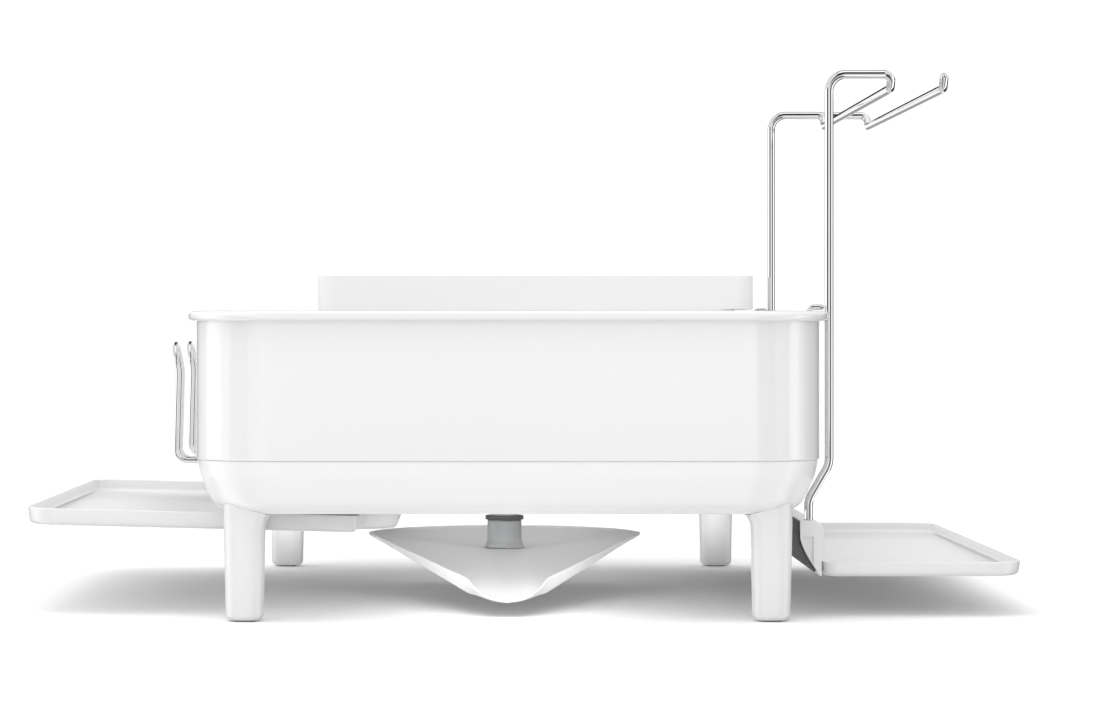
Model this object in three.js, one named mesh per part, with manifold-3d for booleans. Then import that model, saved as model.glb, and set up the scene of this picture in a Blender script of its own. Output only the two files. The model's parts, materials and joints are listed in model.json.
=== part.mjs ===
// Dish drying rack with a swivelling drain spout, a slide-out cup tray, a hook-on wine glass rack,
// a utensil caddy and a lift-out wire dish rack. Millimetres, +Z up, front towards -Y.
import * as THREE from 'three';
import Module from 'manifold-3d';
import { mergeVertices } from 'three/addons/utils/BufferGeometryUtils.js';

const wasm = await Module();
wasm.setup();

// ---- Driving dimensions ----

const GAP = 0.3; // between pieces that touch

// Plastic tub and the painted steel band that stands on its seam
const TUB_HALF_X = 175;
const TUB_HALF_Y = 251.5;
const TUB_CORNER_R = 42;
const TUB_UNDERSIDE_Z = 60;
const SEAM_Z = 90;
const RIM_TOP_Z = 173;
const BAND_WALL = 1.2;
const TUB_FLOOR_Z = 62.2;

// Legs and their rubber pads
const LEG_X = 147;
const LEG_Y = 223.5;
const LEG_HALF = 10.5;
const LEG_BOTTOM_Z = 0.7;
const PAD_HALF = 6;
const PAD_HEIGHT = 3;

// Drain in the middle of the tub and the spout that turns on it
const DRAIN_BORE_R = 6.8;
const DRAIN_TUBE_R = 8.6;
const DRAIN_TUBE_BOTTOM_Z = 38;
const DRAIN_FLANGE_R = 14;
const NUT_R = 13.5;
const NUT_HEIGHT = 4.7;
const STEM_R = 10.6;
const STEM_BORE_R = 9;
const STEM_TOP_Z = 44;
const SEAL_R = 12;
const SEAL_TOP_Z = 46.8;
const SPOUT_R = 84.2;
const SPOUT_REACH = 200;
const SPOUT_BACK_Z = 36;
const SPOUT_CENTRE_Z = 26.6;
const SPOUT_NECK_X = 23;
const SPOUT_NECK_Y = -180;
const SPOUT_NECK_Z = 20.6;
const SPOUT_LIP_Z = 9.2;
const SPOUT_SHELL = 1.8;

// Slide-out cup tray on the left, sloping down towards the drain
const CUP_TRAY_LEFT_X = -275.5;
const CUP_TRAY_INNER_X = -63;
const CUP_TRAY_SHOULDER_X = -85;
const CUP_TRAY_HALF_Y = 187;
const CUP_TRAY_DEPTH = 9.7;
const CUP_TRAY_LEFT_Z = 51.6;
const CUP_TRAY_SLOPE = 1.4 * Math.PI / 180;
const CUP_TRAY_SLOT_HALF = 15;
const CUP_TRAY_SLOT_END_X = -103;
const GUIDE_X = -148;
const GUIDE_HALF_LENGTH = 10;
const GUIDE_FOOT_TOP_Z = 47.8;

// Cup hooks on the left wall
const HOOK_WIRE_R = 1.45;
const HOOK_Y = [-150, -50, 50, 150];
const HOOK_HALF_WIDTH = 14;
const HOOK_FOOT_Z = 87;

// Wine glass rack on the right
const ROD_R = 2.5;
const POST_X = 182.5;
const POST_Y = 191;
const ARM_Z = 307.5;
const RAIL_A_X = 218;
const RAIL_B_X = 248;
const RAIL_Z = 300;
const HUB_HALF_Y = 199;
const HUB_CAP_THICKNESS = 2.2;
const HUB_ROD_X = 170.8;
const HUB_ROD_BOTTOM_Z = 42;
const GLASS_TRAY_LEFT_X = 178;
const GLASS_TRAY_RIGHT_X = 292.7;
const GLASS_TRAY_BOTTOM_Z = 22.9;
const GLASS_TRAY_TOP_Z = 31.1;

// Utensil caddy along the rear wall
const CADDY_LEFT_X = -124;
const CADDY_RIGHT_X = 168.5;
const CADDY_BODY_RIGHT_X = 156;
const CADDY_FRONT_Y = 160;
const CADDY_BACK_Y = 244;
const CADDY_BODY_BACK_Y = 240;
const CADDY_TOP_Z = 198.3;
const CADDY_COLLAR_Z = 176;
const CADDY_BOTTOM_Z = 88;
const CADDY_WALL = 2.5;
const CADDY_TAB_X = [-95, 60];
const CADDY_TAB_LENGTH = 34;

// Lift-out wire dish rack
const GRID_Z = 76;
const GRID_HALF_X = 160;
const GRID_FRONT_Y = -236.5;
const GRID_BACK_Y = 150;
const GRID_WIRE_R = 1.75;
const GRID_LONG_WIRE_X = [-55, 60];
const DIVIDER_PITCH = 27.5;
const DIVIDER_COUNT = 13;
const DIVIDER_FIRST_Y = -209;
const DIVIDER_LEFT_X = -82;
const DIVIDER_RIGHT_X = -28;
const DIVIDER_TOP_Z = 135;

// ---- Materials ----

function finish(color, roughness, metalness) {
  return new THREE.MeshStandardMaterial({ color, roughness, metalness });
}

const glossWhite = () => finish(0xf4f4f3, 0.25, 0);
const paintedSteel = () => finish(0xf6f6f5, 0.3, 0.1);
const matteWhite = () => finish(0xf0f0ef, 0.55, 0);
const chrome = () => finish(0xd8dadd, 0.08, 1);
const greyPlastic = () => finish(0xb4b6b8, 0.35, 0);
const darkRubber = () => finish(0x4a4c4f, 0.8, 0);
const darkSteel = () => finish(0x6d7074, 0.3, 0.9);

// ---- Geometry helpers ----

// Rounded rectangle, counter-clockwise seen from above. Corner radii go round from (+x, -y).
function roundedRect(minX, maxX, minY, maxY, radii, steps = 5) {
  const corners = [
    [maxX, minY, 1, -1, -Math.PI / 2],
    [maxX, maxY, 1, 1, 0],
    [minX, maxY, -1, 1, Math.PI / 2],
    [minX, minY, -1, -1, Math.PI],
  ];
  const points = [];
  corners.forEach(([x, y, signX, signY, startAngle], i) => {
    const radius = Array.isArray(radii) ? radii[i] : radii;
    for (let k = 0; k <= steps; k += 1) {
      const angle = startAngle + (k / steps) * Math.PI / 2;
      points.push(new THREE.Vector2(
        x - signX * radius + radius * Math.cos(angle),
        y - signY * radius + radius * Math.sin(angle),
      ));
    }
  });
  return points;
}

// Skin over rings of equal point counts. An open row of rings is capped at both ends;
// a closed one joins its last ring to its first.
function loft(rings, closed = false) {
  const count = rings[0].length;
  const positions = rings.flat().flatMap((p) => [p.x, p.y, p.z]);
  const index = [];
  const lastRing = closed ? rings.length : rings.length - 1;
  for (let r = 0; r < lastRing; r += 1) {
    const lower = r * count;
    const upper = ((r + 1) % rings.length) * count;
    for (let i = 0; i < count; i += 1) {
      const next = (i + 1) % count;
      index.push(lower + i, lower + next, upper + next);
      index.push(lower + i, upper + next, upper + i);
    }
  }
  if (!closed) {
    const capOf = (ring) => {
      const flat = ring.map((p) => new THREE.Vector2(p.x, p.y));
      return THREE.ShapeUtils.triangulateShape(flat, []);
    };
    const top = (rings.length - 1) * count;
    capOf(rings[0]).forEach(([a, b, c]) => index.push(a, c, b));
    capOf(rings[rings.length - 1]).forEach(([a, b, c]) => index.push(top + a, top + b, top + c));
  }
  const geometry = new THREE.BufferGeometry();
  geometry.setAttribute('position', new THREE.Float32BufferAttribute(positions, 3));
  geometry.setIndex(index);
  return geometry;
}

function atHeight(outline, z) {
  return outline.map((p) => new THREE.Vector3(p.x, p.y, z));
}

// Centre line of straight runs joined by round bends. It is sampled only where it bends.
class RodPath extends THREE.Curve {
  constructor(corners, bendRadii, degreesPerStep = 30) {
    super();
    this.stations = [];
    const points = corners.map((c) => new THREE.Vector3(...c));
    this.addStation(points[0], points[1].clone().sub(points[0]).normalize());
    for (let i = 1; i < points.length - 1; i += 1) {
      const radius = Array.isArray(bendRadii) ? bendRadii[i - 1] : bendRadii;
      this.addBend(points[i - 1], points[i], points[i + 1], radius, degreesPerStep);
    }
    const last = points.length - 1;
    this.addStation(points[last], points[last].clone().sub(points[last - 1]).normalize());
  }

  addStation(point, tangent) {
    this.stations.push({ point, tangent });
  }

  addBend(before, corner, after, radius, degreesPerStep) {
    const incoming = corner.clone().sub(before).normalize();
    const outgoing = after.clone().sub(corner).normalize();
    const turn = incoming.angleTo(outgoing);
    const setback = radius * Math.tan(turn / 2);
    const start = corner.clone().addScaledVector(incoming, -setback);
    const inward = outgoing.clone().addScaledVector(incoming, -incoming.dot(outgoing)).normalize();
    const centre = start.clone().addScaledVector(inward, radius);
    const steps = Math.max(1, Math.ceil(THREE.MathUtils.radToDeg(turn) / degreesPerStep));
    for (let k = 0; k <= steps; k += 1) {
      const angle = (k / steps) * turn;
      const point = centre.clone()
        .addScaledVector(inward, -radius * Math.cos(angle))
        .addScaledVector(incoming, radius * Math.sin(angle));
      const tangent = incoming.clone().multiplyScalar(Math.cos(angle))
        .addScaledVector(inward, Math.sin(angle));
      this.addStation(point, tangent);
    }
  }

  locate(t) {
    const place = t * (this.stations.length - 1);
    const index = Math.min(Math.floor(place + 1e-6), this.stations.length - 2);
    return { here: this.stations[index], next: this.stations[index + 1], blend: place - index };
  }

  getPoint(t) {
    const { here, next, blend } = this.locate(t);
    return here.point.clone().lerp(next.point, blend);
  }

  getTangent(t) {
    const { here, next, blend } = this.locate(t);
    return here.tangent.clone().lerp(next.tangent, blend).normalize();
  }

  getPointAt(t) {
    return this.getPoint(t);
  }

  getTangentAt(t) {
    return this.getTangent(t);
  }
}

function rod(corners, bendRadii, radius, sides = 8) {
  const path = new RodPath(corners, bendRadii);
  const section = new THREE.Shape();
  for (let i = 0; i < sides; i += 1) {
    const angle = ((i + 0.5) / sides) * 2 * Math.PI;
    const x = radius * Math.cos(angle);
    const y = radius * Math.sin(angle);
    if (i === 0) {
      section.moveTo(x, y);
    } else {
      section.lineTo(x, y);
    }
  }
  return new THREE.ExtrudeGeometry(section, { steps: path.stations.length - 1, extrudePath: path });
}

function block(minX, maxX, minY, maxY, minZ, maxZ) {
  return new THREE.BoxGeometry(maxX - minX, maxY - minY, maxZ - minZ)
    .translate((minX + maxX) / 2, (minY + maxY) / 2, (minZ + maxZ) / 2);
}

function uprightCylinder(x, y, minZ, maxZ, radius, sides = 16) {
  return new THREE.CylinderGeometry(radius, radius, maxZ - minZ, sides)
    .rotateX(Math.PI / 2)
    .translate(x, y, (minZ + maxZ) / 2);
}

// Prism with its outline in the XZ plane, from minY to maxY.
function prismAlongY(outline, minY, maxY) {
  const shape = new THREE.Shape(outline.map(([x, z]) => new THREE.Vector2(x, z)));
  return new THREE.ExtrudeGeometry(shape, { depth: maxY - minY, bevelEnabled: false })
    .rotateX(Math.PI / 2)
    .translate(0, maxY, 0);
}

// Turned ring or sleeve around the Z axis from a closed (radius, height) outline.
function turned(outline, sides = 20) {
  const profile = [...outline, outline[0]].map(([r, z]) => new THREE.Vector2(r, z));
  return new THREE.LatheGeometry(profile, sides).rotateX(Math.PI / 2);
}

function toSolid(geometry) {
  const bare = geometry.clone();
  bare.deleteAttribute('normal');
  bare.deleteAttribute('uv');
  const merged = mergeVertices(bare, 1e-4);
  return new wasm.Manifold(new wasm.Mesh({
    numProp: 3,
    vertProperties: merged.attributes.position.array,
    triVerts: Uint32Array.from(merged.index.array),
  }));
}

function toGeometry(solid) {
  const mesh = solid.getMesh();
  const geometry = new THREE.BufferGeometry();
  geometry.setAttribute('position', new THREE.BufferAttribute(mesh.vertProperties, 3));
  geometry.setIndex(new THREE.BufferAttribute(mesh.triVerts, 1));
  return geometry;
}

function join(geometries) {
  return toGeometry(geometries.map(toSolid).reduce((sum, piece) => sum.add(piece)));
}

function cut(geometry, tools) {
  return toGeometry(tools.map(toSolid).reduce((rest, tool) => rest.subtract(tool), toSolid(geometry)));
}

const rack = new THREE.Group();

function addPiece(name, geometry, material) {
  const mesh = new THREE.Mesh(geometry, material);
  mesh.name = name;
  rack.add(mesh);
  return mesh;
}

// ---- Tub, band, legs and drain: the base ----

// Outline of the tub's walls, moved inwards (or outwards when negative).
function tubOutline(inset) {
  const x = TUB_HALF_X - inset;
  const y = TUB_HALF_Y - inset;
  return roundedRect(-x, x, -y, y, TUB_CORNER_R - inset);
}

function drainRing() {
  const half = 21;
  return roundedRect(-half, half, -half, half, half - 1);
}

// The tub's outer side below the seam: inset from the wall line and height.
const TUB_SIDE = [
  [18.5, TUB_UNDERSIDE_Z], [15, 62], [12, 63.6], [9, 67], [5.6, 74], [2.6, 81], [1, 88.6], [1, SEAM_Z - GAP],
];

function buildTub() {
  const lipTopZ = 112;
  // Up the outside, over the lip and down the inside.
  const section = [
    ...TUB_SIDE, [1.6, SEAM_Z - GAP], [1.6, lipTopZ],
    [4.1, lipTopZ], [4.1, 92], [5.4, 81], [8.4, 74], [11.8, 67.5], [16, 64.6], [24, 63.8],
  ];
  const rings = section.map(([inset, z]) => atHeight(tubOutline(inset), z));
  rings.push(atHeight(drainRing(), TUB_FLOOR_Z));

  const gridBottomZ = GRID_Z - ROD_R;
  const bosses = [];
  for (const x of [-156, 156]) {
    for (const y of [-150, 80]) {
      bosses.push(uprightCylinder(x, y, TUB_UNDERSIDE_Z + 2, gridBottomZ - GAP, 6, 12));
    }
  }

  const holes = [uprightCylinder(0, 0, TUB_UNDERSIDE_Z - 5, TUB_FLOOR_Z + 5, DRAIN_TUBE_R + GAP, 20)];
  const holeLength = 12;
  for (const y of HOOK_Y) {
    for (const side of [-1, 1]) {
      holes.push(new THREE.CylinderGeometry(HOOK_WIRE_R + GAP, HOOK_WIRE_R + GAP, holeLength, 8)
        .rotateZ(Math.PI / 2)
        .translate(-TUB_HALF_X, y + side * HOOK_HALF_WIDTH, HOOK_FOOT_Z));
    }
  }
  return cut(join([loft(rings), ...bosses]), holes);
}

function buildBand() {
  // Outset from the wall line and height: up the outside, round the rolled rim, down the inside.
  const section = [
    [0, SEAM_Z], [0, 167], [1.4, 167.5], [3.6, 167.9], [4.7, 169.2], [4.8, 170.6], [4.2, 172],
    [2.8, 172.9], [0.6, RIM_TOP_Z], [-0.8, 172.4], [-BAND_WALL, 171.2], [-BAND_WALL, SEAM_Z],
  ];
  return loft(section.map(([outset, z]) => atHeight(tubOutline(-outset), z)), true);
}

// The space the tub fills below its seam, grown by the gap. It trims the legs' tops.
function tubBlank() {
  const sides = TUB_SIDE.map(([inset, z]) => atHeight(tubOutline(inset - GAP), z - GAP));
  return loft(sides);
}

// Square leg with rounded corners, the outer one rounder, and a pocket for the pad underneath.
// Its top widens inwards and follows the tub's underside.
function buildLeg(signX, signY) {
  const outerOnRight = signY > 0 ? 1 : 0;
  const outerOnLeft = signY > 0 ? 2 : 3;
  const outerCorner = signX > 0 ? outerOnRight : outerOnLeft;
  const pocketHalf = PAD_HALF + GAP;
  const topHalf = LEG_HALF + 1;
  // Half width, height, radius of the plain corners, radius of the outer corner, shift inwards.
  const levels = [
    [pocketHalf, PAD_HEIGHT + GAP, 2, 2, 0],
    [pocketHalf, LEG_BOTTOM_Z, 2, 2, 0],
    [LEG_HALF - 2.2, LEG_BOTTOM_Z, 3, 5, 0],
    [LEG_HALF - 0.6, LEG_BOTTOM_Z + 1.6, 4, 7, 0],
    [LEG_HALF, LEG_BOTTOM_Z + 4.7, 4.5, 8, 0],
    [topHalf, 54, 5, 9, 0],
    [topHalf + 0.5, 57.5, 5, 9, 0.5],
    [topHalf + 2, TUB_UNDERSIDE_Z, 6, 9, 2],
    [topHalf + 2, TUB_UNDERSIDE_Z + 16, 6, 9, 2],
  ];
  const rings = levels.map(([half, z, plainR, outerR, shift]) => {
    const radii = [0, 1, 2, 3].map((corner) => (corner === outerCorner ? outerR : plainR));
    return atHeight(roundedRect(-half, half, -half, half, radii, 3), z)
      .map((p) => p.add(new THREE.Vector3(signX * (LEG_X - shift), signY * (LEG_Y - shift), 0)));
  });
  return cut(loft(rings), [tubBlank()]);
}

function buildPad(signX, signY) {
  const outline = roundedRect(-PAD_HALF, PAD_HALF, -PAD_HALF, PAD_HALF, 1.7, 2);
  return loft([atHeight(outline, 0), atHeight(outline, PAD_HEIGHT)])
    .translate(signX * LEG_X, signY * LEG_Y, 0);
}

addPiece('base_tub', buildTub(), glossWhite());
addPiece('steel_band', buildBand(), paintedSteel());

for (const [sideX, signX] of [['left', -1], ['right', 1]]) {
  for (const [sideY, signY] of [['front', -1], ['rear', 1]]) {
    addPiece(`leg_${sideY}_${sideX}`, buildLeg(signX, signY), glossWhite());
    addPiece(`foot_pad_${sideY}_${sideX}`, buildPad(signX, signY), darkRubber());
  }
}

function buildDrainFitting() {
  const flangeZ = TUB_FLOOR_Z + GAP;
  const topZ = flangeZ + 1.4;
  return turned([
    [DRAIN_BORE_R, DRAIN_TUBE_BOTTOM_Z], [DRAIN_TUBE_R, DRAIN_TUBE_BOTTOM_Z], [DRAIN_TUBE_R, flangeZ],
    [DRAIN_FLANGE_R, flangeZ], [DRAIN_FLANGE_R, topZ - 0.5], [DRAIN_FLANGE_R - 1, topZ],
    [DRAIN_BORE_R, topZ],
  ]);
}

function buildDrainNut() {
  const topZ = TUB_UNDERSIDE_Z - GAP;
  const bottomZ = topZ - NUT_HEIGHT;
  const bore = uprightCylinder(0, 0, bottomZ - 1, topZ + 1, DRAIN_TUBE_R + GAP, 20);
  return cut(uprightCylinder(0, 0, bottomZ, topZ, NUT_R, 6), [bore]);
}

addPiece('drain_fitting', buildDrainFitting(), greyPlastic());
addPiece('drain_nut', buildDrainNut(), glossWhite());
addPiece('spout_seal', turned([
  [DRAIN_TUBE_R + GAP, STEM_TOP_Z + GAP], [SEAL_R, STEM_TOP_Z + GAP],
  [SEAL_R, SEAL_TOP_Z], [DRAIN_TUBE_R + GAP, SEAL_TOP_Z],
]), darkRubber());

// Clips beside the left legs: each carries one edge of the cup tray on its foot.
function buildTrayGuide(signY) {
  const webY = CUP_TRAY_HALF_Y + 0.8;
  const outerY = webY + 2.4;
  const toeY = webY - 6;
  const topZ = TUB_UNDERSIDE_Z - GAP;
  const footBottomZ = GUIDE_FOOT_TOP_Z - 1.6;
  const outline = [
    [webY, topZ], [webY, GUIDE_FOOT_TOP_Z], [toeY, GUIDE_FOOT_TOP_Z],
    [toeY, footBottomZ], [outerY, footBottomZ], [outerY, topZ],
  ];
  return prismAlongY(outline, -GUIDE_HALF_LENGTH, GUIDE_HALF_LENGTH)
    .rotateZ(signY * Math.PI / 2)
    .translate(GUIDE_X, 0, 0);
}

addPiece('tray_guide_front', buildTrayGuide(-1), glossWhite());
addPiece('tray_guide_rear', buildTrayGuide(1), glossWhite());

// Hairpin cup hook: both feet go through the tub's wall just under the seam.
function buildCupHook(y) {
  const footX = -171.6;
  const standX = -191;
  const topX = -193.8;
  const topZ = 154;
  const half = HOOK_HALF_WIDTH;
  const side = (sign) => [
    [footX, y + sign * half, HOOK_FOOT_Z], [standX, y + sign * half, HOOK_FOOT_Z],
    [standX + 1.4, y + sign * half, 138], [topX, y + sign * half, topZ],
  ];
  return rod([...side(-1), ...side(1).reverse()], [6.5, 20, 12, 12, 20, 6.5], HOOK_WIRE_R, 6);
}

HOOK_Y.forEach((y, i) => addPiece(`cup_hook_${i + 1}`, buildCupHook(y), chrome()));

// ---- Swivel spout ----

// Rim of the spout: round at the back, straight sides, narrow rounded lip in front. Each point
// carries its rim height and the height of the wall's foot below it.
function spoutRim() {
  const thinWall = 1.2;
  const half = [];
  const lip = [[0, SPOUT_LIP_Z + 0.1, SPOUT_LIP_Z], [8, 10.7, 10.2], [14, 13, 11.8], [19, 16.4, 13]];
  lip.forEach(([x, rimZ, footZ]) => {
    const y = -SPOUT_REACH + (x / SPOUT_NECK_X) ** 3 * (SPOUT_NECK_Y + SPOUT_REACH);
    half.push({ x, y, rimZ, footZ });
  });
  const sideSteps = 7;
  for (let k = 0; k <= sideSteps; k += 1) {
    const t = k / sideSteps;
    const rimZ = SPOUT_NECK_Z + (SPOUT_BACK_Z - SPOUT_NECK_Z) * t;
    const wall = 6 * (1 - t) + thinWall;
    half.push({
      x: SPOUT_NECK_X + (SPOUT_R - SPOUT_NECK_X) * t,
      y: SPOUT_NECK_Y * (1 - t),
      rimZ,
      footZ: rimZ - wall,
    });
  }
  const backSteps = 9;
  for (let k = 1; k <= backSteps; k += 1) {
    const angle = (k / backSteps) * Math.PI / 2;
    half.push({
      x: SPOUT_R * Math.cos(angle),
      y: SPOUT_R * Math.sin(angle),
      rimZ: SPOUT_BACK_Z,
      footZ: SPOUT_BACK_Z - thinWall,
    });
  }
  const mirrored = half.slice(1, -1).reverse().map((p) => ({ ...p, x: -p.x }));
  return [...half, ...mirrored];
}

function buildSpoutDish() {
  const rim = spoutRim();
  const wallLean = 0.965;
  const hubShare = 0.17;
  // A ring part of the way from the centre to the wall's foot, lowered by the given drop.
  const floorRing = (share, drop) => rim.map((p) => new THREE.Vector3(
    p.x * wallLean * share,
    p.y * wallLean * share,
    SPOUT_CENTRE_Z + (p.footZ - SPOUT_CENTRE_Z) * Math.max(0, (share - hubShare) / (1 - hubShare)) - drop,
  ));
  const rimRing = (drop) => rim.map((p) => new THREE.Vector3(p.x, p.y, p.rimZ - drop));
  const rings = [
    floorRing(hubShare, SPOUT_SHELL), floorRing(0.55, SPOUT_SHELL), floorRing(1, SPOUT_SHELL),
    rimRing(1.2), rimRing(0), floorRing(0.985, 0), floorRing(0.55, 0), floorRing(hubShare, 0),
  ];
  return loft(rings);
}

function buildSpoutStem() {
  const bottomZ = SPOUT_CENTRE_Z + GAP;
  const sleeve = turned([
    [STEM_BORE_R, bottomZ], [13.2, bottomZ], [11.6, bottomZ + 1.2], [STEM_R, bottomZ + 3.4],
    [STEM_R, STEM_TOP_Z], [STEM_BORE_R, STEM_TOP_Z],
  ]);
  const outletHalf = 6;
  const outlet = block(-outletHalf, outletHalf, 4, 16, bottomZ - 5, bottomZ + 9);
  return cut(sleeve, [outlet]);
}

addPiece('spout_dish', buildSpoutDish(), glossWhite());
addPiece('spout_stem', buildSpoutStem(), greyPlastic());

// ---- Slide-out cup tray ----

// Outline measured from the tray's left edge, moved inwards by the inset. The slot in the inner
// end lets the tray slide past the drain.
function cupTrayOutline(inset) {
  const left = inset;
  const inner = CUP_TRAY_INNER_X - CUP_TRAY_LEFT_X;
  const shoulder = CUP_TRAY_SHOULDER_X - CUP_TRAY_LEFT_X;
  const halfY = CUP_TRAY_HALF_Y - inset;
  const slotHalf = CUP_TRAY_SLOT_HALF + inset;
  const slotX = CUP_TRAY_SLOT_END_X - CUP_TRAY_LEFT_X;
  const cornerR = 20 - inset;
  const shoulderR = 5;
  const points = [];
  const arc = (cx, cy, radius, from, to, steps) => {
    for (let k = 0; k <= steps; k += 1) {
      const angle = THREE.MathUtils.degToRad(from + (to - from) * k / steps);
      points.push(new THREE.Vector2(cx + radius * Math.cos(angle), cy + radius * Math.sin(angle)));
    }
  };
  // Where the tray narrows: a corner, then a hollow bend and a round bend that meet at an angle.
  const bendAngle = 60;
  const bendSum = (inner - shoulder) / (1 - Math.cos(THREE.MathUtils.degToRad(bendAngle)));
  const hollowR = 18;
  const roundR = bendSum - hollowR;
  const hollowY = 166;
  const roundY = hollowY - bendSum * Math.sin(THREE.MathUtils.degToRad(bendAngle));
  const cornerX = shoulder - shoulderR;
  const cornerY = CUP_TRAY_HALF_Y - shoulderR;

  arc(left + cornerR, -halfY + cornerR, cornerR, 180, 270, 5);
  arc(cornerX, -cornerY, shoulderR - inset, 270, 360, 2);
  arc(shoulder + hollowR, -hollowY, hollowR + inset, 180, 180 - bendAngle, 3);
  arc(inner - roundR, -roundY, roundR - inset, -bendAngle, 0, 3);
  points.push(new THREE.Vector2(inner - inset, -slotHalf));
  arc(slotX, 0, slotHalf, 270, 90, 8);
  points.push(new THREE.Vector2(inner - inset, slotHalf));
  arc(inner - roundR, roundY, roundR - inset, 0, bendAngle, 3);
  arc(shoulder + hollowR, hollowY, hollowR + inset, 180 + bendAngle, 180, 3);
  arc(cornerX, cornerY, shoulderR - inset, 0, 90, 2);
  arc(left + cornerR, halfY - cornerR, cornerR, 90, 180, 5);
  return points;
}

function buildCupTray() {
  // Inset and height above the underside: up the outside, over the edge, down to the floor.
  const section = [
    [4.5, 0], [1.6, 1.4], [0.8, 4], [0, CUP_TRAY_DEPTH - 0.5], [0.4, CUP_TRAY_DEPTH],
    [1.6, CUP_TRAY_DEPTH], [2.4, 5.4], [4.6, 2.6],
  ];
  return loft(section.map(([inset, z]) => atHeight(cupTrayOutline(inset), z)));
}

const cupTray = addPiece('cup_tray', buildCupTray(), glossWhite());
cupTray.position.set(CUP_TRAY_LEFT_X, 0, CUP_TRAY_LEFT_Z);
cupTray.rotation.y = CUP_TRAY_SLOPE;

// ---- Wine glass rack ----

// One rod: up from the hub past the rim, over the arm, down into the rail and back at the rear.
function buildRackLoop() {
  const half = (sign) => [
    [HUB_ROD_X, sign * POST_Y, HUB_ROD_BOTTOM_Z], [HUB_ROD_X, sign * POST_Y, 66],
    [POST_X, sign * POST_Y, 86], [POST_X, sign * POST_Y, ARM_Z],
    [RAIL_A_X, sign * POST_Y, ARM_Z], [RAIL_A_X, sign * (POST_Y - 5), RAIL_Z],
  ];
  const bends = [14, 14, 9.5, 4.5, 4.5];
  return rod([...half(-1), ...half(1).reverse()], [...bends, ...[...bends].reverse()], ROD_R);
}

// Second rail: starts beside the rear arm and ends in a turned-up tip in front.
function buildOuterRail() {
  const lapY = POST_Y + 2 * ROD_R + GAP;
  return rod([
    [198, lapY, ARM_Z], [RAIL_B_X, lapY, ARM_Z], [RAIL_B_X, lapY - 6, RAIL_Z],
    [RAIL_B_X, -POST_Y + 5, RAIL_Z], [RAIL_B_X, -POST_Y, ARM_Z + 0.5],
  ], [4.5, 4.5, 4.5], ROD_R);
}

// Small wire hook on each post that hangs the rack on the rolled rim.
function buildRimHook(signY) {
  const y = signY * POST_Y;
  const wireR = 1.5;
  return rod([
    [POST_X - ROD_R - GAP, y, RIM_TOP_Z + 2.2], [171.4, y, RIM_TOP_Z + 2.2], [171.4, y, 165.5],
  ], 2.6, wireR, 6);
}

// End profile of the hub, (x, z): flat top, rounded shoulder, back that curves in underneath.
const HUB_BACK = [[165.2, 54.6], [165.2, 44.5], [166.9, 39.4], [169.6, 34.1], [172.8, 28.8]];
const HUB_TIP = [[176.4, 23.6], [177, 23.2], [177.6, 23.2]];
const HUB_FRONT = [
  [177.6, 31.6], [178.9, 32.2], [178.9, 47.5], [178.6, 50.2], [177.3, 52.7], [175.1, 54.2], [172.6, 54.6],
];
const HUB_PROFILE = [...HUB_BACK, ...HUB_TIP, ...HUB_FRONT];

function buildHub() {
  const halfY = HUB_HALF_Y - HUB_CAP_THICKNESS - GAP;
  const sockets = [-1, 1].map((sign) => (
    uprightCylinder(HUB_ROD_X, sign * POST_Y, HUB_ROD_BOTTOM_Z - 1, 60, ROD_R + GAP, 12)
  ));
  return cut(prismAlongY(HUB_PROFILE, -halfY, halfY), sockets);
}

function buildHubCap(signY) {
  const minY = HUB_HALF_Y - HUB_CAP_THICKNESS;
  const cap = prismAlongY(HUB_PROFILE, minY, HUB_HALF_Y);
  return signY > 0 ? cap : cap.translate(0, -minY - HUB_HALF_Y, 0);
}

// Thin curved plate that follows the hub's back at an even distance, and ends above its tip.
function buildHubPlate() {
  const thickness = 1.2;
  const line = [...HUB_BACK, [174.6, 26.2]];
  const offsetBack = (distance) => line.map(([x, z], i) => {
    const before = line[Math.max(0, i - 1)];
    const after = line[Math.min(line.length - 1, i + 1)];
    const along = new THREE.Vector2(after[0] - before[0], after[1] - before[1]).normalize();
    return [x + along.y * distance, z - along.x * distance];
  });
  const outline = [...offsetBack(GAP), ...offsetBack(GAP + thickness).reverse()];
  return prismAlongY(outline, -HUB_HALF_Y, HUB_HALF_Y);
}

function buildGlassTray() {
  const outline = (inset) => {
    const outerR = 20 - inset;
    const hubSideR = 9 - inset;
    const halfY = HUB_HALF_Y - inset;
    const radii = [outerR, outerR, hubSideR, hubSideR];
    return roundedRect(GLASS_TRAY_LEFT_X + inset, GLASS_TRAY_RIGHT_X - inset, -halfY, halfY, radii);
  };
  // Inset and height: up the outside, over the edge, down to the floor.
  const section = [
    [5, GLASS_TRAY_BOTTOM_Z], [1.8, 24.6], [0.7, 27], [0, GLASS_TRAY_TOP_Z - 0.5],
    [0.4, GLASS_TRAY_TOP_Z], [1.8, GLASS_TRAY_TOP_Z], [2.4, 27.4], [4.6, 25.5],
  ];
  return loft(section.map(([inset, z]) => atHeight(outline(inset), z)));
}

addPiece('glass_rack_loop', buildRackLoop(), chrome());
addPiece('glass_rack_outer_rail', buildOuterRail(), chrome());
addPiece('rim_hook_front', buildRimHook(-1), chrome());
addPiece('rim_hook_rear', buildRimHook(1), chrome());
addPiece('tray_hub', buildHub(), glossWhite());
addPiece('hub_cap_front', buildHubCap(-1), glossWhite());
addPiece('hub_cap_rear', buildHubCap(1), glossWhite());
addPiece('hub_back_plate', buildHubPlate(), darkSteel());
addPiece('glass_tray', buildGlassTray(), glossWhite());

// ---- Utensil caddy ----

function straightPrism(outline, minZ, maxZ) {
  return loft([atHeight(outline, minZ), atHeight(outline, maxZ)]);
}

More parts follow.
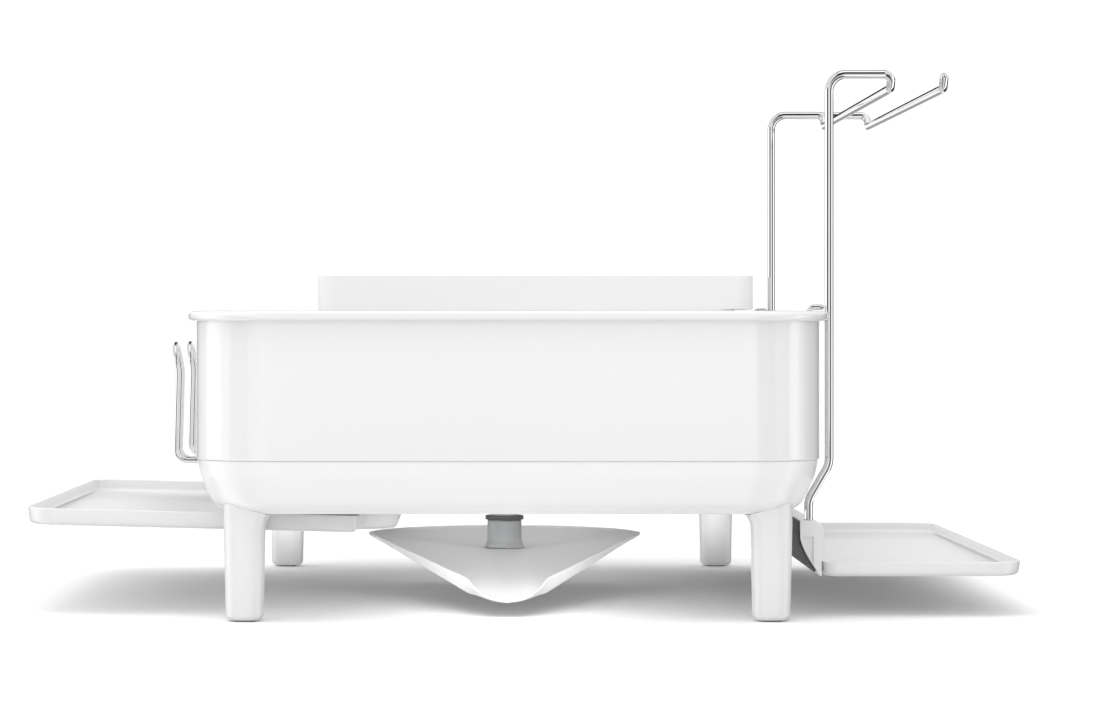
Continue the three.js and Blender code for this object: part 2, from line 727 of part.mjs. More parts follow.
function buildCaddy() {
  const cornerR = 12;
  const innerR = cornerR - CADDY_WALL;
  const body = straightPrism(
    roundedRect(CADDY_LEFT_X, CADDY_BODY_RIGHT_X, CADDY_FRONT_Y, CADDY_BODY_BACK_Y, [12, 25, 12, 12], 4),
    CADDY_BOTTOM_Z,
    CADDY_COLLAR_Z + 1,
  );
  const collar = straightPrism(
    roundedRect(CADDY_LEFT_X, CADDY_RIGHT_X, CADDY_FRONT_Y, CADDY_BACK_Y, cornerR, 4),
    CADDY_COLLAR_Z,
    CADDY_TOP_Z,
  );
  const tabs = CADDY_TAB_X.map((x) => block(
    x,
    x + CADDY_TAB_LENGTH,
    CADDY_BACK_Y - 3,
    TUB_HALF_Y + 3,
    RIM_TOP_Z + 2 * GAP,
    CADDY_COLLAR_Z + 2,
  ));
  const wall = CADDY_WALL;
  const mouth = straightPrism(
    roundedRect(
      CADDY_LEFT_X + wall, CADDY_RIGHT_X - wall, CADDY_FRONT_Y + wall, CADDY_BACK_Y - wall, innerR, 4,
    ),
    CADDY_COLLAR_Z + 6,
    CADDY_TOP_Z + 5,
  );
  const compartments = 3;
  const span = (CADDY_BODY_RIGHT_X - CADDY_LEFT_X - wall) / compartments;
  const slotHalfWidth = 2.5;
  const slotPitch = 22;
  const cavities = [mouth];
  for (let i = 0; i < compartments; i += 1) {
    const minX = CADDY_LEFT_X + wall + i * span;
    const maxX = minX + span - wall;
    const rearRightR = i === compartments - 1 ? 22 : innerR;
    const radii = [innerR, rearRightR, innerR, innerR];
    const outline = roundedRect(minX, maxX, CADDY_FRONT_Y + wall, CADDY_BODY_BACK_Y - wall, radii, 4);
    cavities.push(straightPrism(outline, CADDY_BOTTOM_Z + wall, CADDY_COLLAR_Z + 8));
    for (let slot = -1; slot <= 1; slot += 1) {
      const x = (minX + maxX) / 2 + slot * slotPitch;
      cavities.push(block(
        x - slotHalfWidth, x + slotHalfWidth, 185, 215, CADDY_BOTTOM_Z - 5, CADDY_BOTTOM_Z + 5,
      ));
    }
  }
  return cut(join([body, collar, ...tabs]), cavities);
}

addPiece('utensil_caddy', buildCaddy(), matteWhite());

// ---- Lift-out wire dish rack ----

function buildGrid() {
  const cornerR = 27;
  const overlap = 4;
  const halfLoop = (sign) => rod([
    [-sign * overlap, GRID_FRONT_Y, GRID_Z], [sign * GRID_HALF_X, GRID_FRONT_Y, GRID_Z],
    [sign * GRID_HALF_X, GRID_BACK_Y, GRID_Z], [-sign * overlap, GRID_BACK_Y, GRID_Z],
  ], cornerR, ROD_R);
  const wires = [halfLoop(-1), halfLoop(1)];
  for (let i = 0; i < DIVIDER_COUNT; i += 1) {
    const y = DIVIDER_FIRST_Y + i * DIVIDER_PITCH;
    wires.push(rod([[-GRID_HALF_X, y, GRID_Z], [GRID_HALF_X, y, GRID_Z]], 0, GRID_WIRE_R, 6));
  }
  for (const x of GRID_LONG_WIRE_X) {
    wires.push(rod([[x, GRID_FRONT_Y, GRID_Z - 1], [x, GRID_BACK_Y, GRID_Z - 1]], 0, GRID_WIRE_R, 6));
  }
  return join(wires);
}

// Upright loop of wire between two plates, standing on a cross wire of the grid.
function buildDivider(y) {
  const footZ = GRID_Z + GRID_WIRE_R + GAP;
  return rod([
    [DIVIDER_LEFT_X, y, footZ], [DIVIDER_LEFT_X, y, DIVIDER_TOP_Z],
    [DIVIDER_RIGHT_X, y, DIVIDER_TOP_Z], [DIVIDER_RIGHT_X, y, footZ],
  ], 14, GRID_WIRE_R, 6);
}

addPiece('dish_rack_grid', buildGrid(), chrome());
for (let i = 0; i < DIVIDER_COUNT; i += 1) {
  addPiece(`plate_divider_${i + 1}`, buildDivider(DIVIDER_FIRST_Y + i * DIVIDER_PITCH), chrome());
}

// The origin is on the counter under the middle of the whole rack.
const extents = new THREE.Box3().setFromObject(rack);
rack.position.x = -(extents.min.x + extents.max.x) / 2;

export default rack;
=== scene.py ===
import json
import math

import bmesh
import bpy
from mathutils import Matrix, Vector


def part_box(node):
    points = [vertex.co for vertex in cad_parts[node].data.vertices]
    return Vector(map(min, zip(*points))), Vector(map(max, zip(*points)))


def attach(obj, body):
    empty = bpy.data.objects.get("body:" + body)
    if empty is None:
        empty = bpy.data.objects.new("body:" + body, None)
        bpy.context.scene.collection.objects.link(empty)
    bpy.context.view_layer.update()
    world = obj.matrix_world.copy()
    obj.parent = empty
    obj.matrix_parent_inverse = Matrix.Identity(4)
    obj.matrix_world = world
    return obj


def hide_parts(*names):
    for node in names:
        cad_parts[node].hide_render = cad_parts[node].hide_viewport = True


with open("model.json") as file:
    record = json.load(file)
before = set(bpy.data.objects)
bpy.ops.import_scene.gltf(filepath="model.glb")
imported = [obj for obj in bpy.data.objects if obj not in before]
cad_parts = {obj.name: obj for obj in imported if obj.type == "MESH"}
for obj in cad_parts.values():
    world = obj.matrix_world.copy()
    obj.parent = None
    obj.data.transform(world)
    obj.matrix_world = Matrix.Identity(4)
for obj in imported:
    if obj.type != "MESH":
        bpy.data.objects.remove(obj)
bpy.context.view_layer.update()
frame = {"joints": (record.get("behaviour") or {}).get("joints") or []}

# Lengths below are millimetres from the tub's centre line (X, Y) and the counter (Z), unless a
# name says otherwise. MM turns them into the metres that Blender and the frame use.
MM = 0.001


def tub_centre_x():
    low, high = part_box("steel_band")
    return (low.x + high.x) / 2


TUB_X_M = tub_centre_x()


def span(node):
    """Lowest and highest corner of a CAD node, in millimetres from the tub's centre line."""
    low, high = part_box(node)
    shift = Vector((TUB_X_M, 0, 0))
    return (low - shift) / MM, (high - shift) / MM


# ---- Camera ----

# The camera looks straight along +Y. Its place and lens are solved from the rack's perspective.
CAMERA_X = -19.0
CAMERA_Y = -2154.5
CAMERA_Z = 164.0
CAMERA_LENS = 111.2
CAMERA_SHIFT = (0.0768, -0.0223)


def make_camera():
    data = bpy.data.cameras.new("camera")
    data.sensor_width = 36
    data.lens = CAMERA_LENS
    data.shift_x, data.shift_y = CAMERA_SHIFT
    data.clip_end = 50
    camera = bpy.data.objects.new("camera", data)
    camera.location = (TUB_X_M + CAMERA_X * MM, CAMERA_Y * MM, CAMERA_Z * MM)
    camera.rotation_euler = (math.radians(90), 0, 0)
    bpy.context.collection.objects.link(camera)
    bpy.context.scene.camera = camera


make_camera()

# ---- Outlines, paths and skins ----


def rounded_rect(min_x, max_x, min_y, max_y, radii, steps=10):
    """Counter-clockwise outline. Corner radii go round from (+x, -y)."""
    if not hasattr(radii, "__len__"):
        radii = [radii] * 4
    corners = [(max_x, min_y, 1, -1), (max_x, max_y, 1, 1), (min_x, max_y, -1, 1), (min_x, min_y, -1, -1)]
    points = []
    for i, (x, y, sign_x, sign_y) in enumerate(corners):
        radius = radii[i]
        for k in range(steps + 1):
            angle = math.radians(90 * (i - 1 + k / steps))
            points.append((
                x - sign_x * radius + radius * math.cos(angle),
                y - sign_y * radius + radius * math.sin(angle),
            ))
    return points


def filleted(corners, closed=False, steps=6):
    """Outline through (a, b, radius) corners, with each corner rounded to its radius."""
    count = len(corners)
    points = []
    for i, (a, b, radius) in enumerate(corners):
        here = Vector((a, b))
        at_end = not closed and i in (0, count - 1)
        if radius == 0 or at_end:
            points.append((a, b))
            continue
        to_before = (Vector(corners[i - 1][:2]) - here).normalized()
        to_after = (Vector(corners[(i + 1) % count][:2]) - here).normalized()
        half = to_before.angle(to_after) / 2
        centre = here + (to_before + to_after).normalized() * (radius / math.sin(half))
        start = here + to_before * (radius / math.tan(half)) - centre
        end = here + to_after * (radius / math.tan(half)) - centre
        turn = start.angle_signed(end)
        for k in range(steps + 1):
            spoke = start.copy()
            spoke.rotate(Matrix.Rotation(-turn * k / steps, 2))
            points.append(tuple(centre + spoke))
    return points


def smooth_through(points, per_span=6):
    """Catmull-Rom curve through the points, which may have any number of numbers each."""
    result = []
    last = len(points) - 1
    for i in range(last):
        p0, p1, p2, p3 = (Vector(points[min(max(j, 0), last)]) for j in (i - 1, i, i + 1, i + 2))
        for k in range(per_span):
            t = k / per_span
            result.append(tuple(
                p1 * 1.0 + (p2 - p0) * (t / 2)
                + (p0 * 2 - p1 * 5 + p2 * 4 - p3) * (t * t / 2)
                + (p1 * 3 - p0 - p2 * 3 + p3) * (t ** 3 / 2)
            ))
    result.append(tuple(points[last]))
    return result


def loft(rings, closed=False):
    """Quads between rings of equal point counts, capped at both ends unless closed."""
    count = len(rings[0])
    verts = [tuple(p) for ring in rings for p in ring]
    faces = []
    for r in range(len(rings) if closed else len(rings) - 1):
        lower = r * count
        upper = ((r + 1) % len(rings)) * count
        for i in range(count):
            j = (i + 1) % count
            faces.append((lower + i, lower + j, upper + j, upper + i))
    if not closed:
        top = (len(rings) - 1) * count
        faces.append(tuple(reversed(range(count))))
        faces.append(tuple(range(top, top + count)))
    return verts, faces


def merged(*parts):
    """Several (verts, faces) as one."""
    verts, faces = [], []
    for part_verts, part_faces in parts:
        base = len(verts)
        verts += part_verts
        faces += [tuple(base + i for i in face) for face in part_faces]
    return verts, faces


def at_height(outline, z):
    return [(x, y, z) for x, y in outline]


def bent_path(corners, radii, degrees_per_step=7):
    """Points along straight runs joined by round bends."""
    corners = [Vector(c) for c in corners]
    if not hasattr(radii, "__len__"):
        radii = [radii] * (len(corners) - 2)
    points = [corners[0]]
    for before, corner, after, radius in zip(corners, corners[1:], corners[2:], radii):
        incoming = (corner - before).normalized()
        outgoing = (after - corner).normalized()
        turn = incoming.angle(outgoing)
        inward = (outgoing - incoming * incoming.dot(outgoing)).normalized()
        centre = corner - incoming * (radius * math.tan(turn / 2)) + inward * radius
        steps = max(2, math.ceil(math.degrees(turn) / degrees_per_step))
        for k in range(steps + 1):
            angle = turn * k / steps
            across = inward * (radius * math.cos(angle))
            along = incoming * (radius * math.sin(angle))
            points.append(centre - across + along)
    points.append(corners[-1])
    return points


# Angles of the rings that round off the end of a rod.
DOME_ANGLES = (0.35, 0.75, 1.15, math.pi / 2)


def tube(path, radius, sides=16, closed=False):
    """Round rod along a path, with rounded ends unless the path closes on itself."""
    count = len(path)
    tangents = []
    for i in range(count):
        before = path[i - 1] if closed or i > 0 else path[0]
        after = path[(i + 1) % count] if closed or i < count - 1 else path[-1]
        tangents.append((after - before).normalized())
    side = tangents[0].orthogonal().normalized()
    rings = []

    def ring(centre, across, up, size):
        return [
            tuple(centre + across * (size * math.cos(a)) + up * (size * math.sin(a)))
            for a in (2 * math.pi * k / sides for k in range(sides))
        ]

    for i, (point, tangent) in enumerate(zip(path, tangents)):
        side = (side - tangent * side.dot(tangent)).normalized()
        up = tangent.cross(side)
        if not closed and i in (0, count - 1):
            inward = 1 if i == 0 else -1
            dome = [(radius * (1 - math.cos(a)), radius * math.sin(a)) for a in DOME_ANGLES]
            if i:
                dome.reverse()
            rings += [ring(point + tangent * (inward * depth), side, up, size) for depth, size in dome]
        else:
            rings.append(ring(point, side, up, radius))
    return loft(rings, closed)


def lathe(profile, steps=48, x=0.0, y=0.0):
    """Closed (radius, z) outline turned about a vertical axis."""
    rings = []
    for k in range(steps):
        angle = 2 * math.pi * k / steps
        rings.append([(x + r * math.cos(angle), y + r * math.sin(angle), z) for r, z in profile])
    return loft(rings, closed=True)


def hole_tool(radius, low_z, high_z, x=0.0, y=0.0, steps=48):
    """Upright cylinder that cuts a round hole. Its core is a pin too thin to matter."""
    core = 0.01
    return lathe([(core, low_z), (radius, low_z), (radius, high_z), (core, high_z)], steps, x, y)


def prism(outline, low_z, high_z):
    """Closed skin of an (x, y) outline between two heights."""
    return loft([at_height(outline, low_z), at_height(outline, high_z)])


def slab(outline, low_y, high_y):
    """Closed skin of an (x, z) outline between two places along Y."""
    return loft([[(x, y, z) for x, z in outline] for y in (low_y, high_y)])


def bar_along_y(outline, stations):
    """Skin of (x, z) outlines at (y, inset) stations; the inset shrinks the outline at rounded ends."""
    centre = Vector((sum(p[0] for p in outline), sum(p[1] for p in outline))) / len(outline)
    rings = []
    for y, inset in stations:
        ring = []
        for x, z in outline:
            arm = Vector((x, z)) - centre
            ring.append(centre + arm * (1 - inset / arm.length))
        rings.append([(p.x, y, p.y) for p in ring])
    return loft(rings)


# ---- Materials ----


def new_node(tree, kind, settings=None, **inputs):
    """Adds a node. Inputs go by name, or as i0, i1 and so on by number, and are linked or set."""
    node = tree.nodes.new(kind)
    for key, value in (settings or {}).items():
        setattr(node, key, value)
    for key, value in inputs.items():
        socket = node.inputs[int(key[1:])] if key[0] == "i" and key[1:].isdigit() else node.inputs[key]
        if isinstance(value, bpy.types.NodeSocket):
            tree.links.new(value, socket)
        else:
            socket.default_value = value
    return node


def colour_mix(tree, factor, first, second):
    """Colour that goes from the first to the second as the factor goes from 0 to 1."""
    node = new_node(tree, "ShaderNodeMix", {"data_type": "RGBA"}, i0=factor, i6=first, i7=second)
    return node.outputs[2]


def map_range(tree, value, source, target=(0.0, 1.0)):
    """Value carried over from one (start, end) range to another, and held inside it."""
    ends = {"From Min": source[0], "From Max": source[1], "To Min": target[0], "To Max": target[1]}
    return new_node(tree, "ShaderNodeMapRange", Value=value, **ends).outputs["Result"]


def maths(tree, operation, *values):
    inputs = {f"i{k}": value for k, value in enumerate(values)}
    return new_node(tree, "ShaderNodeMath", {"operation": operation}, **inputs).outputs["Value"]


def shader_mix(tree, factor, first, second):
    return new_node(
        tree, "ShaderNodeMixShader", i0=factor, i1=first.outputs[0], i2=second.outputs[0]
    )


def grey(brightness):
    return (brightness, brightness, brightness, 1)


def ramp(tree, value, stops):
    """Grey colour ramp through (position, brightness) stops."""
    node = new_node(tree, "ShaderNodeValToRGB", Fac=value)
    elements = node.color_ramp.elements
    while len(elements) < len(stops):
        elements.new(0.5)
    for element, (position, _) in zip(elements, stops):
        element.position = position
    for element, (_, brightness) in zip(elements, stops):
        element.color = grey(brightness)
    return node.outputs["Color"]


# Reach of the lighter edge colour, in metres: painted highlight that also stands for wear.
EDGE_WEAR_AND_HIGHLIGHT_M = 0.0007
DUST_SCALE = 2600.0
COAT_ROUGHNESS = 0.06


def surface(name, dark, light, rough, *, edge, metallic=0.0, coat=0.0, ior=1.46, blotch=5.0,
            grain=1400.0, stretch=(1, 1, 1), bump=0.1, depth=0.00008, speck=0.0):
    """Procedural finish: cloudy colour between two tones, edges and creases painted lighter (painted
    highlight that also stands for wear), uneven gloss and a fine grain.

    Rough is the least and the greatest roughness. Blotch and grain are noise scales, depth is the
    grain's height in metres, and speck is how much the dust shows."""
    material = bpy.data.materials.new(name)
    material.use_nodes = True
    tree = material.node_tree
    shader = tree.nodes["Principled BSDF"]
    place = new_node(tree, "ShaderNodeTexCoord").outputs["Object"]

    cloud = new_node(tree, "ShaderNodeTexNoise", Vector=place, Scale=blotch, Detail=2.0, Roughness=0.4)
    colour = colour_mix(tree, map_range(tree, cloud.outputs["Fac"], (0.2, 0.8)), (*dark, 1), (*light, 1))
    if speck:
        dust = new_node(tree, "ShaderNodeTexNoise", Vector=place, Scale=DUST_SCALE, Detail=2.0)
        dust_colour = (*[c * 0.8 for c in dark], 1)
        dusty = map_range(tree, dust.outputs["Fac"], (0.6, 0.72), (0.0, speck))
        colour = colour_mix(tree, dusty, colour, dust_colour)

    # Where the rounded normal leaves the true one, there is an edge or crease. The colour is painted
    # lighter there: a painted highlight that also stands for wear.
    rounded = new_node(tree, "ShaderNodeBevel", {"samples": 4}, Radius=EDGE_WEAR_AND_HIGHLIGHT_M)
    facing = new_node(tree, "ShaderNodeNewGeometry")
    match = new_node(
        tree, "ShaderNodeVectorMath", {"operation": "DOT_PRODUCT"},
        i0=rounded.outputs["Normal"], i1=facing.outputs["Normal"],
    )
    edge_wear_and_highlight = map_range(tree, match.outputs["Value"], (0.995, 0.85), (0.0, 0.7))
    tree.links.new(colour_mix(tree, edge_wear_and_highlight, colour, (*edge, 1)), shader.inputs["Base Color"])

    stretched = new_node(tree, "ShaderNodeMapping", Vector=place, Scale=stretch).outputs["Vector"]
    gloss = new_node(tree, "ShaderNodeTexNoise", Vector=stretched, Scale=grain / 12, Detail=5.0)
    tree.links.new(map_range(tree, gloss.outputs["Fac"], (0.3, 0.7), rough), shader.inputs["Roughness"])
    fine = new_node(tree, "ShaderNodeTexNoise", Vector=stretched, Scale=grain, Detail=3.0)
    relief = new_node(tree, "ShaderNodeBump", Height=fine.outputs["Fac"], Strength=bump, Distance=depth)
    tree.links.new(relief.outputs["Normal"], shader.inputs["Normal"])
    shader.inputs["Metallic"].default_value = metallic
    shader.inputs["IOR"].default_value = ior
    shader.inputs["Coat Weight"].default_value = coat
    shader.inputs["Coat Roughness"].default_value = COAT_ROUGHNESS
    return material


WHITE_PLASTIC = surface(
    "white_plastic", (0.875, 0.875, 0.873), (0.89, 0.89, 0.888), (0.2, 0.265),
    edge=(0.9, 0.9, 0.9), coat=0.15, bump=0.06,
)
PAINTED_STEEL = surface(
    "painted_steel", (0.825, 0.825, 0.823), (0.84, 0.84, 0.838), (0.12, 0.18), ior=1.6,
    edge=(0.88, 0.88, 0.88), coat=0.5, grain=900.0, bump=0.06, depth=0.00005,
)
# A darker copy of the white plastic, for the trays, the hub and the legs. On the legs it is painted shade:
# it draws them darker than the tub they are moulded with.
DIMMED_WHITE_PLASTIC = surface(
    "dimmed_white_plastic", (0.795, 0.795, 0.793), (0.81, 0.81, 0.808), (0.24, 0.265),
    edge=(0.84, 0.84, 0.84), coat=0.15, bump=0.025,
)
MATTE_PLASTIC = surface(
    "matte_plastic", (0.88, 0.88, 0.878), (0.895, 0.895, 0.893), (0.5, 0.6),
    edge=(0.89, 0.89, 0.89), grain=2200.0, bump=0.2, speck=0.05,
)
SPOUT_PLASTIC = surface(
    "spout_plastic", (0.83, 0.832, 0.836), (0.845, 0.847, 0.851), (0.3, 0.38),
    edge=(0.86, 0.86, 0.862), bump=0.04,
)
GREY_PLASTIC = surface(
    "grey_plastic", (0.37, 0.374, 0.378), (0.43, 0.434, 0.438), (0.28, 0.4),
    edge=(0.5, 0.5, 0.5), coat=0.1, blotch=40.0, bump=0.1,
)
DARK_RUBBER = surface(
    "dark_rubber", (0.09, 0.09, 0.093), (0.13, 0.13, 0.133), (0.6, 0.8),
    edge=(0.09, 0.09, 0.09), blotch=60.0, grain=3000.0, bump=0.5, speck=0.3,
)
CHROME = surface(
    "chrome_wire", (0.76, 0.765, 0.77), (0.81, 0.815, 0.82), (0.02, 0.05),
    edge=(0.84, 0.84, 0.84), metallic=1.0, blotch=30.0, grain=2400.0, stretch=(1, 1, 0.25), bump=0.008,
)
# Near-black finish of the plate on the hub's back: painted shade, a dark sheet where the hub's back lies in
# shadow.
PAINTED_SHADE_DARK = surface(
    "dark_steel", (0.05, 0.051, 0.053), (0.08, 0.081, 0.083), (0.55, 0.7), ior=1.25,
    edge=(0.2, 0.2, 0.2), blotch=30.0, grain=1800.0, stretch=(1, 0.05, 1), bump=0.15,
)


# ---- Making pieces ----


def mesh_object(name, skin):
    """Object with a clean mesh: points that meet are welded and all faces look outwards."""
    verts, faces = skin
    mesh = bpy.data.meshes.new(name)
    mesh.from_pydata([(TUB_X_M + x * MM, y * MM, z * MM) for x, y, z in verts], [], faces)
    weld = bmesh.new()
    weld.from_mesh(mesh)
    bmesh.ops.remove_doubles(weld, verts=weld.verts, dist=1e-6)
    bmesh.ops.dissolve_degenerate(weld, edges=weld.edges, dist=1e-7)
    bmesh.ops.recalc_face_normals(weld, faces=weld.faces)
    weld.to_mesh(mesh)
    weld.free()
    piece = bpy.data.objects.new(name, mesh)
    bpy.context.collection.objects.link(piece)
    return piece


def apply_modifiers(piece):
    graph = bpy.context.evaluated_depsgraph_get()
    result = bpy.data.meshes.new_from_object(piece.evaluated_get(graph))
    piece.modifiers.clear()
    piece.data = result


def combine(piece, operation, skins):
    """Adds closed skins to a piece (UNION) or cuts them out of it (DIFFERENCE)."""
    for k, skin in enumerate(skins):
        tool = mesh_object(f"tool_{k}", skin)
        modifier = piece.modifiers.new("combine", "BOOLEAN")
        modifier.operation = operation
        modifier.solver = "EXACT"
        modifier.object = tool
        apply_modifiers(piece)
        bpy.data.objects.remove(tool)


def round_edges(piece, width, segments=3, angle=32):
    """Rounds a piece's sharp edges by a width in millimetres."""
    modifier = piece.modifiers.new("round", "BEVEL")
    modifier.width = width * MM
    modifier.segments = segments
    modifier.limit_method = "ANGLE"
    modifier.angle_limit = math.radians(angle)
    apply_modifiers(piece)


def finish_piece(piece, body, material, nodes, sharp=38, even=False):
    """Shades a piece, gives it its finish, and joins it to the frame in the place of its CAD nodes.

    An even piece keeps its large faces flat right up to their rounded edges."""
    piece.data.materials.clear()
    piece.data.materials.append(material)
    piece.data.shade_smooth()
    piece.data.set_sharp_from_angle(angle=math.radians(sharp))
    if even:
        weighted = piece.modifiers.new("weighted", "WEIGHTED_NORMAL")
        weighted.keep_sharp = True
        apply_modifiers(piece)
    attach(piece, body)
    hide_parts(*nodes)


# The object's two ends along Y, with their signs.
ENDS = (("front", -1), ("rear", 1))

# ---- Tub ----

band_low, band_high = span("steel_band")
tub_low, tub_high = span("base_tub")
RIM_OUTSET = 4.8
RIM_CURL_Z = 167.4
RIM_TOP_Z = band_high.z
BAND_WALL = 1.2
SEAM_Z = band_low.z
UNDERSIDE_Z = tub_low.z
# The wall line is the outside of the steel band below its rolled rim.
TUB_HALF_X = band_high.x - RIM_OUTSET
TUB_HALF_Y = band_high.y - RIM_OUTSET
TUB_CORNER_R = 42.0
CORNER_STEPS = 14
DRIP_FLOOR_EDGE_Z = 63.8
DRIP_FLOOR_LOW_Z = UNDERSIDE_Z + 2.2
DRAIN_HOLE_R = 8.9
# Clearance between pieces.
GAP = 0.3

# The tub's flank below the seam: inset from the wall line and height.
FLANK = smooth_through([
    (18.5, UNDERSIDE_Z), (15, UNDERSIDE_Z + 2), (12, UNDERSIDE_Z + 3.8), (9, UNDERSIDE_Z + 7),
    (5.6, UNDERSIDE_Z + 14), (2.6, UNDERSIDE_Z + 21), (1, UNDERSIDE_Z + 28.4),
], 4)


def tub_outline(inset):
    half_x, half_y = TUB_HALF_X - inset, TUB_HALF_Y - inset
    return rounded_rect(-half_x, half_x, -half_y, half_y, TUB_CORNER_R - inset, CORNER_STEPS)


def tub_inset(x, y):
    """How far inside the wall line a point lies."""
    over_x = abs(x) - (TUB_HALF_X - TUB_CORNER_R)
    over_y = abs(y) - (TUB_HALF_Y - TUB_CORNER_R)
    if over_x > 0 and over_y > 0:
        return TUB_CORNER_R - math.hypot(over_x, over_y)
    return min(TUB_HALF_X - abs(x), TUB_HALF_Y - abs(y))


def flank_height(inset):
    """Height of the tub's outside at an inset from the wall line."""
    for (outer_inset, low_z), (inner_inset, high_z) in zip(FLANK, FLANK[1:]):
        if outer_inset >= inset >= inner_inset:
            share = (outer_inset - inset) / (outer_inset - inner_inset)
            return low_z + share * (high_z - low_z)
    return UNDERSIDE_Z if inset > FLANK[0][0] else FLANK[-1][1]


def make_tub():
    shoulder_z, lip_z = SEAM_Z - 0.08, tub_high.z
    # Insets of the outside below the seam, the outside behind the steel band, and the inside.
    below, behind, inner = 1, 1.6, 4.1
    section = [(22, UNDERSIDE_Z), *FLANK]
    section += filleted([
        (below, shoulder_z - 0.9, 0), (below, shoulder_z, 0.3), (behind, shoulder_z, 0.15), (behind, 95, 0),
    ], steps=3)
    section += filleted([
        (behind, 100, 0), (behind, lip_z, 0.6), (inner, lip_z, 0.6), (inner, 96, 0),
    ], steps=4)
    section += smooth_through([
        (inner, 92), (5.4, 81), (8.4, 74), (11.8, 67.5), (16, 64.6), (24, DRIP_FLOOR_EDGE_Z),
    ], 4)
    rings = [at_height(tub_outline(inset), z) for inset, z in section]
    # The drip floor falls towards the drain in long even steps.
    drain_half = 21
    drain = rounded_rect(-drain_half, drain_half, -drain_half, drain_half, drain_half - 1, CORNER_STEPS)
    edge_ring = rings[-1]
    for share in (0.25, 0.5, 0.75, 1.0):
        z = DRIP_FLOOR_EDGE_Z + (DRIP_FLOOR_LOW_Z - DRIP_FLOOR_EDGE_Z) * share
        rings.append([
            (x + (dx - x) * share, y + (dy - y) * share, z) for (x, y, _), (dx, dy) in zip(edge_ring, drain)
        ])
    piece = mesh_object("tub", loft(rings))
    combine(piece, "DIFFERENCE", [hole_tool(DRAIN_HOLE_R, low_z=50, high_z=80)])
    finish_piece(piece, "base", WHITE_PLASTIC, ["base_tub"], even=True)


make_tub()


def make_band():
    curl_r = (RIM_TOP_Z - RIM_CURL_Z) / 2
    section = filleted([
        (-BAND_WALL, SEAM_Z, 0.3), (0, SEAM_Z, 0.8), (0, RIM_CURL_Z, 0.5),
        (RIM_OUTSET, RIM_CURL_Z, curl_r - 0.5), (RIM_OUTSET, RIM_TOP_Z, curl_r),
        (-BAND_WALL, RIM_TOP_Z, 1.8),
    ], closed=True, steps=8)
    rings = [at_height(tub_outline(-outset), z) for outset, z in section]
    piece = mesh_object("band", loft(rings, closed=True))
    finish_piece(piece, "base", PAINTED_STEEL, ["steel_band"], even=True)


make_band()

# ---- Legs and pads ----

LEG_HALF = 10.5
LEG_BOTTOM_Z = 0.7
LEG_TOE_R = 3
LEG_SHIN_Z = 30
LEG_KNEE_Z = 52
FLARE_STEPS = 6
FLARE_STEP_Z = 1.28


def leg_levels(pocket_half, pocket_z):
    """Levels of a leg from its pad's pocket, round the toe and up into the flare that meets the tub.

    Each is half width, height, tight corner radius, outer corner radius and shift inwards."""
    levels = [(pocket_half, pocket_z, 2, 2, 0), (pocket_half, LEG_BOTTOM_Z, 2, 2, 0)]
    for degrees in range(0, 91, 15):
        angle = math.radians(degrees)
        half = LEG_HALF - LEG_TOE_R + LEG_TOE_R * math.sin(angle)
        z = LEG_BOTTOM_Z + LEG_TOE_R * (1 - math.cos(angle))
        levels.append((half, z, 3 + half / 7, 4 + half / 2.6, 0))
    levels += [(LEG_HALF + 0.5, LEG_SHIN_Z, 4.7, 8.5, 0), (LEG_HALF + 0.95, LEG_KNEE_Z, 5, 9, 0)]
    for k in range(1, FLARE_STEPS + 1):
        flare = 2 * (k / FLARE_STEPS) ** 2.2
        shift = flare * 0.9
        levels.append((LEG_HALF + 1 + shift, LEG_KNEE_Z + k * FLARE_STEP_Z, 5 + flare / 2, 9, shift))
    levels.append((LEG_HALF + 2.9, UNDERSIDE_Z + 20, 6, 9, 1.9))
    return levels


def make_leg(label, sign_x, sign_y, pad_low, pad_high):
    centre_x, centre_y = (pad_low.x + pad_high.x) / 2, (pad_low.y + pad_high.y) / 2
    outer_corner = {(1, -1): 0, (1, 1): 1, (-1, 1): 2, (-1, -1): 3}[(sign_x, sign_y)]
    rings = []
    for half, z, tight, outer, shift in leg_levels((pad_high.x - pad_low.x) / 2 + GAP, pad_high.z + GAP):
        radii = [outer if corner == outer_corner else (tight + 2 * outer) / 3 for corner in range(4)]
        x, y = centre_x - sign_x * shift, centre_y - sign_y * shift
        rings.append(at_height(rounded_rect(x - half, x + half, y - half, y + half, radii, 9), z))
    # The leg's top follows the tub's flank.
    rings = [[(x, y, min(z, flank_height(tub_inset(x, y)) - GAP)) for x, y, z in ring] for ring in rings]
    piece = mesh_object(f"leg_{label}_moulding", loft(rings))
    # The leg takes the darker copy of the white plastic: painted shade.
    finish_piece(piece, "base", DIMMED_WHITE_PLASTIC, [f"leg_{label}"])


def make_pad(label, low, high):
    levels = [(0.8, 0), (0.3, 0.15), (0, 0.6), (0, high.z)]
    rings = [
        at_height(rounded_rect(low.x + inset, high.x - inset, low.y + inset, high.y - inset, 1.9, 6), z)
        for inset, z in levels
    ]
    piece = mesh_object(f"foot_{label}_rubber", loft(rings))
    finish_piece(piece, "base", DARK_RUBBER, [f"foot_pad_{label}"])


for side, side_sign in (("left", -1), ("right", 1)):
    for end, end_sign in ENDS:
        corner_label = f"{end}_{side}"
        foot_low, foot_high = span(f"foot_pad_{corner_label}")
        make_leg(corner_label, side_sign, end_sign, foot_low, foot_high)
        make_pad(corner_label, foot_low, foot_high)

# ---- Drain ----


